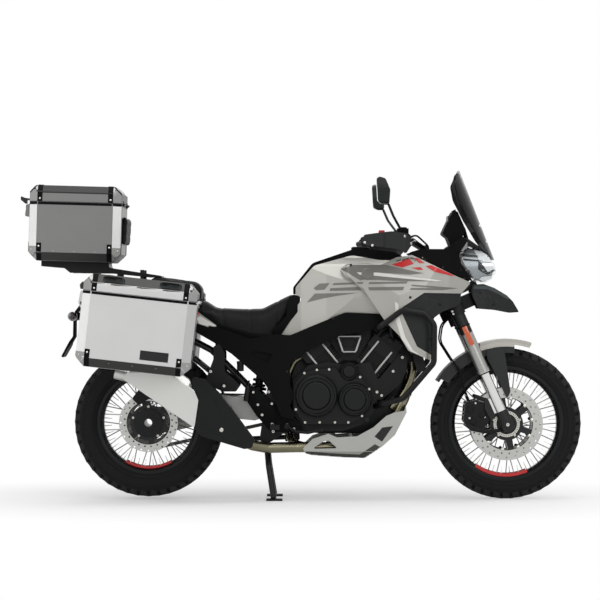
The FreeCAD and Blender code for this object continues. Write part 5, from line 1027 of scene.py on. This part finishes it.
panelSpots = [(215, 1020, panelNodes), (250, 795, panelNodes), (612, 1010, cowl), (690, 1000, cowl),
              (-60, 560, covers), (140, 790, covers), (560, 700, shrouds), (600, 850, shrouds), (780, 900, beak),
              (840, 850, beak), (470, 880, panelNodes)]
repeated("panelScrews", socketScrew, screwsOn(panelSpots, ("right", "left"), 0.3), "blackBolt", size=5.5,
         slotName="black_plastic")
print("panels printed")

# engine: cover screws, polished strips on the cylinders, the bright intake frame and plugs
engineSizes = {"screwMm": 6, "leanDegrees": 39.3, "stripHeight": 122, "frameTubeMm": 5.5, "hoseMm": 9,
               "crank": mm(210, 0, 476)}
coverSpots = [(-22, 518), (15, 553), (69, 567), (122, 569), (178, 548), (244, 548), (256, 536), (295, 484), (300, 418),
              (264, 368), (205, 340), (147, 340), (81, 340), (18, 340), (-22, 396), (-22, 454)]
screwSpots = {"main_frame": [(-60, 430), (-95, 470), (-100, 330), (-140, 470), (330, 470), (400, 560), (440, 620),
                             (-150, 400), (350, 455)],
              "foot_pegs": [(-120, 300), (-60, 330), (-90, 440)],
              "pillion_pegs": [(-330, 500), (-390, 560), (-300, 700), (-340, 690)],
              "crash_bars": [(430, 380)], "swingarm": [(-560, 350), (-300, 400)]}
screws = screwsOn([(a, b, ["engine_covers"]) for a, b in coverSpots], ("right", "left"), 0.9, 0.0005)
for nodeName, spots in screwSpots.items():
    for a, b in spots:
        screws += screwsOn([(a, b, [nodeName])], ("right", "left"), 0.8, 0.0005, 1.15)
repeated("engineScrews", socketScrew, screws, "boltSteel", "chassis", engineSizes["screwMm"])
cylinderTurns = [Matrix.Translation(engineSizes["crank"]) @ Matrix.Rotation(math.radians(lean), 4, "Y")
                 for lean in (-engineSizes["leanDegrees"], engineSizes["leanDegrees"])]
work = bmesh.new()
for turn in cylinderTurns:
    part = bmesh.new()
    for x in (-37, 38):
        for y in (-100.5, 90.5):
            addBlock(part, mm(x, y, 186), (8, 6, engineSizes["stripHeight"]), 1.5)
    bmesh.ops.transform(part, matrix=turn, verts=part.verts)
    merge(work, part)
for x0, z0, x1, z1 in ((160, 712, 260, 712), (258, 706, 238, 646), (238, 644, 182, 644), (162, 706, 182, 646)):
    addBar(work, [(x0, -113, z0), (x1, -113, z1)], engineSizes["frameTubeMm"], 12)
addPiece("engineBrightTrim", work, "skidAluminium")
work = bmesh.new()
for turn in cylinderTurns:
    part = bmesh.new()
    for y in (-92, 88):
        addTurned(part, [(0, 0), (13, 0), (13, 7), (9, 9), (0, 9)], mm(0, y - 4, 282), (0, -1 if y < 0 else 1, 0), 20)
    addTurned(part, [(0, 0), (12, 0), (12, 22), (9, 26), (5, 26), (5, 44), (0, 44)], mm(0, -5, 298), (0, 0, 1), 20)
    bmesh.ops.transform(part, matrix=turn, verts=part.verts)
    merge(work, part)
addTurned(work, [(0, 0), (11, 0), (11, 12), (8, 14), (0, 14)], mm(285, -158, 352), (0, -1, 0), 20)
addPiece("sparkCapsAndPlugs", work, "engineBlack")
hoses = [[(300, -60, 640), (330, -85, 700), (380, -90, 740), (430, -80, 720)],
         [(120, -60, 640), (90, -85, 690), (60, -95, 700), (10, -95, 660)],
         [(360, -100, 420), (400, -95, 470), (430, -90, 540), (455, -80, 590)],
         [(330, 70, 640), (380, 90, 680), (430, 90, 660), (470, 80, 610)]]
work = bmesh.new()
for route in hoses:
    curve = bpy.data.curves.new("hoseRoute", "CURVE")
    curve.dimensions = "3D"
    spline = curve.splines.new("NURBS")
    spline.points.add(len(route) - 1)
    for point, spot in zip(spline.points, route):
        point.co = (*mm(*spot), 1)
    spline.order_u = 3
    spline.use_endpoint_u = True
    curve.resolution_u = 12
    holder = bpy.data.objects.new("hoseRoute", curve)
    line = bpy.data.meshes.new_from_object(holder)
    addTube(work, [v.co.copy() for v in line.vertices], engineSizes["hoseMm"], 12)
    bpy.data.objects.remove(holder)
    bpy.data.meshes.remove(line)
addPiece("coolantHoses", work, "gripRubber")
print("engine dressed")

# radiator fins: upright plates a few millimetres apart in front of the core
finSizes = {"count": 74, "pitchMm": 3.822, "depthMm": 1.6, "tallMm": 218, "reach": 0.138, "leanDegrees": -14}
coreTurn = Matrix.Translation(mm(505, 0, 562)) @ Matrix.Rotation(math.radians(finSizes["leanDegrees"]), 4, "Y")
work = bmesh.new()
addBlock(work, Vector(), (finSizes["depthMm"], 0.5, finSizes["tallMm"]), 0)
turned = coreTurn.to_3x3()
fins = [(coreTurn @ mm(34.8, (k - finSizes["count"] / 2 + 0.5) * finSizes["pitchMm"], 113), turned @ Vector((0, 0, 1)),
         turned @ Vector((1, 0, 0)), 1.0) for k in range(finSizes["count"])]
stamped("radiatorFins", work, [p for p in fins if abs(p[0].y) < finSizes["reach"]], "mufflerSteel")

# chain: side plates along the loop round both sprockets
chainSizes = {"pitchMm": 15.875, "rear": (-0.664, 0.335, 0.1214), "front": (0.010, 0.400, 0.0407), "y": 0.123,
              "narrow": 9.6, "wide": 10.1}
rearX, rearZ, rearR = chainSizes["rear"]
frontX, frontZ, frontR = chainSizes["front"]
span = Vector((frontX - rearX, 0, frontZ - rearZ))
lean = math.atan2(span.z, span.x)
swing = math.asin((rearR - frontR) / span.length)
loop = []
for x, z, radius, start, sweep, steps in ((rearX, rearZ, rearR, math.pi / 2 - swing, math.pi + 2 * swing, 60),
                                          (frontX, frontZ, frontR, swing - math.pi / 2, math.pi - 2 * swing, 30)):
    for k in range(steps):
        turn = lean + start + sweep * k / (steps - 1)
        loop.append(Vector((x + radius * math.cos(turn), chainSizes["y"], z + radius * math.sin(turn))))
loop.append(loop[0])
lengths = [0]
for one, two in zip(loop, loop[1:]):
    lengths.append(lengths[-1] + (two - one).length)
linkCount = 2 * round(lengths[-1] / chainSizes["pitchMm"] * 1000 / 2)


def alongLoop(distance):
    distance %= lengths[-1]
    index = max(i for i, value in enumerate(lengths[:-1]) if value <= distance)
    share = (distance - lengths[index]) / max(lengths[index + 1] - lengths[index], 1e-9)
    return loop[index].lerp(loop[index + 1], share)


linkPlaces = []
for k in range(linkCount):
    one, two = alongLoop(lengths[-1] * k / linkCount), alongLoop(lengths[-1] * (k + 1) / linkCount)
    for side in (-1, 1):
        off = chainSizes["wide" if k % 2 else "narrow"]
        linkPlaces.append(((one + two) / 2 + mm(0, side * off, 0), Vector((0, side, 0)), (two - one).normalized(),
                           1.0))
work = bmesh.new()
outline = [(-12, -3), (-9, -6.6), (-5, -6.6), (0, -4.6), (5, -6.6), (9, -6.6), (12, -3), (12, 3), (9, 6.6), (5, 6.6),
           (0, 4.6), (-5, 6.6), (-9, 6.6), (-12, 3)]
addPlate(work, outline, -0.6, 0.8, "plan", 0)
for x in (-7.9, 7.9):
    addTurned(work, [(2.6, 0), (2.6, 1.8), (0, 1.8)], mm(x, 0, 0), (0, 0, 1), 8)
stamped("chainLinks", work, linkPlaces, "chainSteel")
print("chain laid:", linkCount, "links")

# grips with moulded ribs, the switch pods, the kill switch and the guards' screws
gripSizes = {"inner": mm(394, 288, 1129.7), "outer": mm(284, 430, 1124), "ribs": 34, "pitchMm": 4.2, "startMm": 22,
             "guardScrewMm": 6}
gripAlong = (gripSizes["outer"] - gripSizes["inner"]).normalized()
ribs = []
for side in (1, -1):
    for k in range(gripSizes["ribs"]):
        place = gripSizes["inner"] + gripAlong * (gripSizes["startMm"] + gripSizes["pitchMm"] * k) / 1000
        ribs.append((Vector((place.x, side * place.y, place.z)),
                     Vector((gripAlong.x, side * gripAlong.y, gripAlong.z)), Vector((0, 0, 1)), 1.0))
work = bmesh.new()
addTurned(work, [(16.2, -0.9), (17.3, -0.6), (17.3, 0.6), (16.2, 0.9), (16.2, -0.9)], Vector(), (0, 0, 1), 24)
stamped("gripRibs", work, ribs, "gripRubber", "fork")
work = bmesh.new()
addBlock(work, mm(346, -262, 1160), (26, 18, 16), 3)
addBlock(work, mm(352, 262, 1158), (16, 14, 8), 2)
addPiece("killSwitch", work, "redKnob", "fork")
work = bmesh.new()
for y in (-246, 246):
    addBlock(work, mm(404, y, 1140), (44, 34, 42), 6)
    addBlock(work, mm(388, y * 1.02, 1152), (16, 14, 10), 2.5)
for y in (-246, 246):
    addTurned(work, [(0, 0), (17, 0), (17, 5), (14, 6.5), (0, 6.5)], mm(438, y, 1175), (0, 0, 1), 28)
addPiece("switchHousings", work, "blackPlastic", "fork")
guardSpots = [(a, b, ["hand_guards"]) for a, b in ((268, 1112), (300, 1100), (470, 1110), (440, 1140))]
repeated("handGuardScrews", socketScrew, screwsOn(guardSpots, ("right", "left"), 0.3), "boltSteel", "fork",
         gripSizes["guardScrewMm"])

# mirrors: silvered glass in each head, seen from the rear
glassOutline = [(345, 1284), (352, 1278), (412, 1284), (424, 1345), (404, 1388), (350, 1374), (343, 1332)]
laidPiece("mirrorGlasses", "mirrorGlass",
          [(["mirrors"], (0.8, 0.1, 10, 8), [[(side * a, b) for a, b in glassOutline] for side in (-1, 1)])], 12,
          ["rear"], "fork")
print("controls fitted")

# headlamp: reflector bowls, light guides and dark bezel behind the clear lens
lampSizes = {"bowlX": 752, "guideX": 757, "half": 52, "level": 1018, "tilt": (1, 0, -0.1),
             "shellShare": (0.72, 0.93, 0.9), "housing": (716, 734), "guideStrip": (735, 750), "upperBar": (756, 762),
             "lowerBar": (770, 790), "browHalf": 84, "shellBack": 14, "facetDepth": 5, "shellDepth": 7}
work = bmesh.new()
for y in (-lampSizes["half"], lampSizes["half"]):
    addTurned(work, [(8, 0), (14, 2), (26, 14), (36, 34), (41, 58), (42, 58), (37, 33), (27, 12), (14, 0), (8, -1),
                     (8, 0)], mm(lampSizes["bowlX"], y, lampSizes["level"]), lampSizes["tilt"], 40)
for y in (-1, 1):
    addPlate(work, [(y * 20, 1068), (y * 78, 1050), (y * 84, 1058), (y * 22, 1077)],
             *lampSizes["upperBar"], "front", 0.8)
    addPlate(work, [(y * 30, 962), (y * 72, 962), (y * 66, 954), (y * 34, 954)],
             *lampSizes["lowerBar"], "front", 0.8)
addPiece("lampReflectors", work, "lampChrome")
work = bmesh.new()
for y in (-lampSizes["half"], lampSizes["half"]):
    addTurned(work, [(0, 0), (9, 0), (12, 4), (12, 14), (6, 19), (0, 20)],
              mm(lampSizes["guideX"], y, lampSizes["level"]), lampSizes["tilt"], 28)
addBlock(work, mm(lampSizes["guideX"], 0, lampSizes["level"]), (10, 8, 80), 2)
for y in (-1, 1):
    addPlate(work, [(y * 92, 985), (y * 108, 1012), (y * 98, 1062), (y * 90, 1062), (y * 97, 1012), (y * 84, 990)],
             *lampSizes["guideStrip"], "front", 1)
addPiece("lampLightGuides", work, "lampWhite")
work = bmesh.new()
addPlate(work, [(-100, 965), (-60, 950), (60, 950), (100, 965), (108, 1012), (98, 1066), (44, 1098), (-44, 1098),
                (-98, 1066), (-108, 1012)], *lampSizes["housing"], "front", 3)
addPiece("lampHousing", work, "darkPlastic")
lens = workFrom(nodes["headlight"].data)
bmesh.ops.remove_doubles(lens, verts=lens.verts, dist=0.00002)
middle = (Vector(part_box("headlight")[0]) + Vector(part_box("headlight")[1])) / 2
bmesh.ops.transform(lens, matrix=Matrix.Translation(middle) @ Matrix.Diagonal((*lampSizes["shellShare"], 1)) @
                    Matrix.Translation(mm(lampSizes["shellBack"], 0, 0) - middle), verts=lens.verts)
addPiece("lampInnerShell", lens, "lampShell", "chassis", 20)
lampFacets = {
    "lampShell": [[(694, 1058), (733, 1096), (750, 1089), (770, 1044), (766, 966), (750, 966), (718, 1008)]],
    "darkPlastic": [[(702, 1070), (770, 1063), (770, 1053), (700, 1058)],
                    [(704, 1050), (772, 1043), (772, 1036), (707, 1041)],
                    [(772, 1040), (784, 1030), (812, 990), (840, 1004), (844, 996), (812, 978), (784, 990),
                     (768, 1004)]],
    "lampWhite": [[(752, 1088), (784, 1082), (816, 1060), (828, 1032), (800, 1034), (772, 1044)],
                  [(776, 958), (786, 970), (824, 974), (838, 988), (826, 960), (794, 948)]],
    "lampChrome": [[(786, 1026), (828, 1028), (842, 996), (818, 982), (784, 994)]]}
for finishName, outlines in lampFacets.items():
    depth = lampSizes["shellDepth" if finishName == "lampShell" else "facetDepth"]
    laidPiece(finishName + "Facets", finishName, [(["headlight"], (0.8, -depth, 6, 60), outlines)], 20,
              slotName="lamp_lens")
work = bmesh.new()
addPlate(work, [(700, 1120), (719, 1142), (736, 1130), (776, 1102), (806, 1076), (800, 1070), (768, 1094),
                (728, 1106)], -lampSizes["browHalf"], lampSizes["browHalf"], "side", 2)
addPiece("lampBrow", work, "darkPlastic")

# screen screws and bracket, and the blinkers at the rear
screenSizes = {"screwMm": 7, "tubeMm": 6, "braceMm": 5}
screenScrews = [(*surfacePoint(a, b, "front", ["windscreen"]), Vector((0, 1, 0)), 1.0)
                for a, b in ((-62, 1120), (62, 1120), (-70, 1190), (70, 1190))]
repeated("screenScrews", socketScrew, screenScrews, "boltSteel", "chassis", screenSizes["screwMm"])
work = bmesh.new()
for side in (-1, 1):
    addBar(work, [(690, 62, 1130), (686, 66, 1200), (668, 66, 1262)], screenSizes["tubeMm"], 12, side)
    addBar(work, [(730, 62, 1120), (712, 66, 1180), (690, 66, 1215)], screenSizes["braceMm"], 12, side)
addBar(work, [(676, -66, 1240), (676, 66, 1240)], screenSizes["tubeMm"], 12)
addPlate(work, [(-84, 1150), (84, 1150), (78, 1236), (-78, 1236)], 640, 646, "front", 1.5)
addPiece("screenBracket", work, "powderCoat")
work = bmesh.new()
for side in (-1, 1):
    addTurned(work, [(0, 0), (18, 0), (21, 12), (20, 30), (13, 44), (0, 48)], mm(-990, side * 118, 798),
              (0, side, 0), 28)
addPiece("blinkerLenses", work, "smokedLens")
print("lamps fitted")

# seats and back pad: foam under vinyl, swelled with cloth, then stitched seams
cushionSizes = {"voxelMm": 6.0, "pressure": 4.0, "frames": 20, "tension": 20, "bending": 2, "spareMm": 4,
                "softening": ((0.5, 1), (0.4, 3)), "stitchMm": 5.0, "thread": (3.4, 0.9, 0.9)}


def softened(work, factor, times):
    for _ in range(times):
        bmesh.ops.smooth_vert(work, verts=work.verts, factor=factor, use_axis_x=True, use_axis_y=True,
                              use_axis_z=True)
    work.normal_update()


def cushion(name, nodeName, capMm, shrinkMm, seams):
    source = workFrom(nodes[nodeName].data)
    bmesh.ops.remove_doubles(source, verts=source.verts, dist=0.00002)
    bmesh.ops.recalc_face_normals(source, faces=source.faces)
    piece = addObject(name, meshFrom(name, source))
    remesh = piece.modifiers.new("remesh", "REMESH")
    remesh.mode = "VOXEL"
    remesh.voxel_size = cushionSizes["voxelMm"] / 1000
    settled = piece.data = evaluated(piece)
    work = workFrom(settled)
    softened(work, *cushionSizes["softening"][0])
    for vert in work.verts:
        vert.co -= vert.normal * shrinkMm / 1000
    work.to_mesh(settled)
    work.free()
    before = [v.co.copy() for v in settled.vertices]
    scene = bpy.context.scene
    cloth = piece.modifiers.new("cloth", "CLOTH")
    cloth.settings.use_pressure = True
    cloth.settings.uniform_pressure_force = cushionSizes["pressure"]
    cloth.settings.effector_weights.gravity = 0
    cloth.settings.tension_stiffness = cushionSizes["tension"]
    cloth.settings.bending_stiffness = cushionSizes["bending"]
    for number in range(1, cushionSizes["frames"] + 1):
        scene.frame_set(number)
    swelled = evaluated(piece)
    scene.frame_set(1)
    for vert, start in zip(swelled.vertices, before):
        step = vert.co - start
        if step.length > capMm / 1000:
            vert.co = start + step.normalized() * capMm / 1000
    piece.data = swelled
    work = workFrom(piece.data)
    softened(work, *cushionSizes["softening"][1])
    low, high = (Vector(c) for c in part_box(nodeName))
    spare = cushionSizes["spareMm"] / 1000
    for vert in work.verts:
        for origin, direction, depth, width in seams:
            gap = abs((vert.co - Vector(origin)).dot(Vector(direction).normalized()))
            if gap < width * 2.5 and vert.normal.z > -0.6:
                vert.co -= vert.normal * depth * math.exp(-(gap / width) ** 2)
        for k in range(3):
            vert.co[k] = max(low[k] - spare, min(high[k] + spare, vert.co[k]))
    for face in work.faces:
        face.smooth = True
    piece.data = meshFrom(name, work)
    piece.data.materials.append(finish["seatVinyl"])
    rounded = piece.modifiers.new("rounded", "SUBSURF")
    rounded.levels = rounded.render_levels = 1
    piece.data = evaluated(piece)
    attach(piece, "chassis")
    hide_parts(nodeName)
    return piece


seats = [cushion("riderSeat", "rider_seat", 6, 2.5,
                 [((-0.10, 0, 0.8), (1, 0, 0), 0.0025, 0.005), ((-0.22, 0, 0.8), (1, 0, 0.1), 0.0025, 0.005),
                  ((-0.34, 0, 0.8), (1, 0, 0.2), 0.0025, 0.005)]),
         cushion("pillionSeat", "pillion_seat", 6, 2.5,
                 [((-0.50, 0, 0.9), (1, 0, 0), 0.0025, 0.005), ((-0.58, 0, 0.9), (1, 0, 0), 0.0025, 0.005)]),
         cushion("backrestPad", "backrest_pad", 4, 2.0,
                 [((-0.76, 0, 1.19), (0, 0, 1), 0.002, 0.004), ((-0.76, 0, 1.15), (0, 0, 1), 0.002, 0.004)])]


def stitches(name, piece, along, across):
    # short raised threads beside a seam, dropped onto the cushion from above
    tree = BVHTree.FromPolygons([v.co for v in piece.data.vertices], [p.vertices for p in piece.data.polygons])
    places = []
    for x in along:
        y = -across
        while y < across:
            hit, normal = tree.ray_cast(Vector((x, y, 1.2)), Vector((0, 0, -1)))[:2]
            if hit is not None and normal.z > 0.4:
                places.append((hit + normal * 0.0002, normal, Vector((0, 1, 0)), 1.0))
            y += cushionSizes["stitchMm"] / 1000
    work = bmesh.new()
    addBlock(work, Vector(), cushionSizes["thread"], 0.3)
    stamped(name, work, places, "threadBlack")


work = bmesh.new()
addPlate(work, [(-104, 700), (-112, 688), (-230, 704), (-360, 751), (-456, 820), (-452, 836), (-356, 778), (-225, 730),
                (-112, 716)], -147, 147, "side", 3)
addPlate(work, [(-428, 846), (-432, 838), (-560, 866), (-660, 880), (-662, 890), (-560, 880)], -132, 132, "side", 3)
addPiece("seatPans", work, "blackPlastic")
stitches("riderSeatStitches", seats[0], (-0.104, -0.224, -0.335), 0.14)
stitches("pillionSeatStitches", seats[1], (-0.504, -0.584), 0.13)
print("seats padded")

# studio: pale floor that fades into a white surround, and plain soft lamps
studio = {"floorColour": "#f2f2f2", "worldStrength": 0.36, "topPower": 80.0, "keyPower": 92.0, "sidePower": 55.0,
          "backPower": 60.0, "floorHalf": 30, "fadeFrom": 0.5, "fadeTo": 1.6}
softboxes = {"top": ((0.1, -0.5, 4.2), (0, 0, 0.6), 4.5, 2.4), "key": ((2.6, -5.2, 3.2), (0, 0, 0.7), 3.0, 3.0),
             "side": ((-3.8, -4.6, 2.2), (-0.2, 0, 0.6), 3.0, 3.0), "back": ((1.0, 4.8, 3.4), (0, 0, 0.7), 4.0, 2.5)}
for label, (place, aim, width, height) in softboxes.items():
    lamp = bpy.data.lights.new(label + "Softbox", "AREA")
    lamp.shape = "RECTANGLE"
    lamp.size = width
    lamp.size_y = height
    lamp.energy = studio[label + "Power"]
    holder = addObject(label + "Softbox", lamp)
    holder.location = place
    holder.rotation_euler = (Vector(aim) - Vector(place)).to_track_quat("-Z", "Y").to_euler()


def seenRays(tree):
    # 1 where the camera sees something, straight, in a reflection or through glass
    path = addNode(tree, "ShaderNodeLightPath")
    straight = addNode(tree, "ShaderNodeMath", {"operation": "ADD", "use_clamp": True},
                       i0=path.outputs["Is Camera Ray"], i1=path.outputs["Is Glossy Ray"])
    return addNode(tree, "ShaderNodeMath", {"operation": "ADD", "use_clamp": True}, i0=straight.outputs[0],
                   i1=path.outputs["Is Transmission Ray"]).outputs[0]


world = bpy.data.worlds.new("studioWorld")
bpy.context.scene.world = world
world.use_nodes = True
tree = world.node_tree
tree.nodes.clear()
plain = addNode(tree, "ShaderNodeBackground", {"Color": hexColour("#ffffff"), "Strength": studio["worldStrength"]})
seen = addNode(tree, "ShaderNodeBackground", {"Color": hexColour("#ffffff"), "Strength": 1.0})
mixed = addNode(tree, "ShaderNodeMixShader", {}, i0=seenRays(tree), i1=plain.outputs[0], i2=seen.outputs[0])
addNode(tree, "ShaderNodeOutputWorld", {}, Surface=mixed.outputs[0])

floorMesh = bpy.data.meshes.new("floor")
far = studio["floorHalf"]
floorMesh.from_pydata([(-far, -far, -0.0005), (far, -far, -0.0005), (far, far, -0.0005), (-far, far, -0.0005)], [],
                      [(0, 1, 2, 3)])
floor = addObject("floor", floorMesh)
floorMaterial, tree, shader = newMaterial("paperFloor")
shader.inputs["Base Color"].default_value = hexColour(studio["floorColour"])
shader.inputs["Roughness"].default_value = 0.9
shader.inputs["Specular IOR Level"].default_value = 0.1
glow = addNode(tree, "ShaderNodeEmission", {"Color": hexColour("#ffffff"), "Strength": 1.0})
place = addNode(tree, "ShaderNodeTexCoord")
reach = addNode(tree, "ShaderNodeVectorMath", {"operation": "MULTIPLY", 1: (0.8, 1.1, 0)}, i0=place.outputs["Object"])
distance = addNode(tree, "ShaderNodeVectorMath", {"operation": "LENGTH"}, i0=reach.outputs[0])
fade = addNode(tree, "ShaderNodeMapRange", {"From Min": studio["fadeFrom"], "From Max": studio["fadeTo"],
                                            "To Min": 0.35, "To Max": 1.0}, Value=distance.outputs["Value"])
mixed = addNode(tree, "ShaderNodeMixShader", {}, i0=fade.outputs[0], i1=shader.outputs[0], i2=glow.outputs[0])
plainOrSeen = addNode(tree, "ShaderNodeMixShader", {}, i0=seenRays(tree), i1=shader.outputs[0], i2=mixed.outputs[0])
tree.links.new(plainOrSeen.outputs[0], next(n for n in tree.nodes if n.type == "OUTPUT_MATERIAL").inputs[0])
floorMesh.materials.append(floorMaterial)
print("studio set")

for template in (socketScrew, domedRivet):
    bpy.data.objects.remove(template)
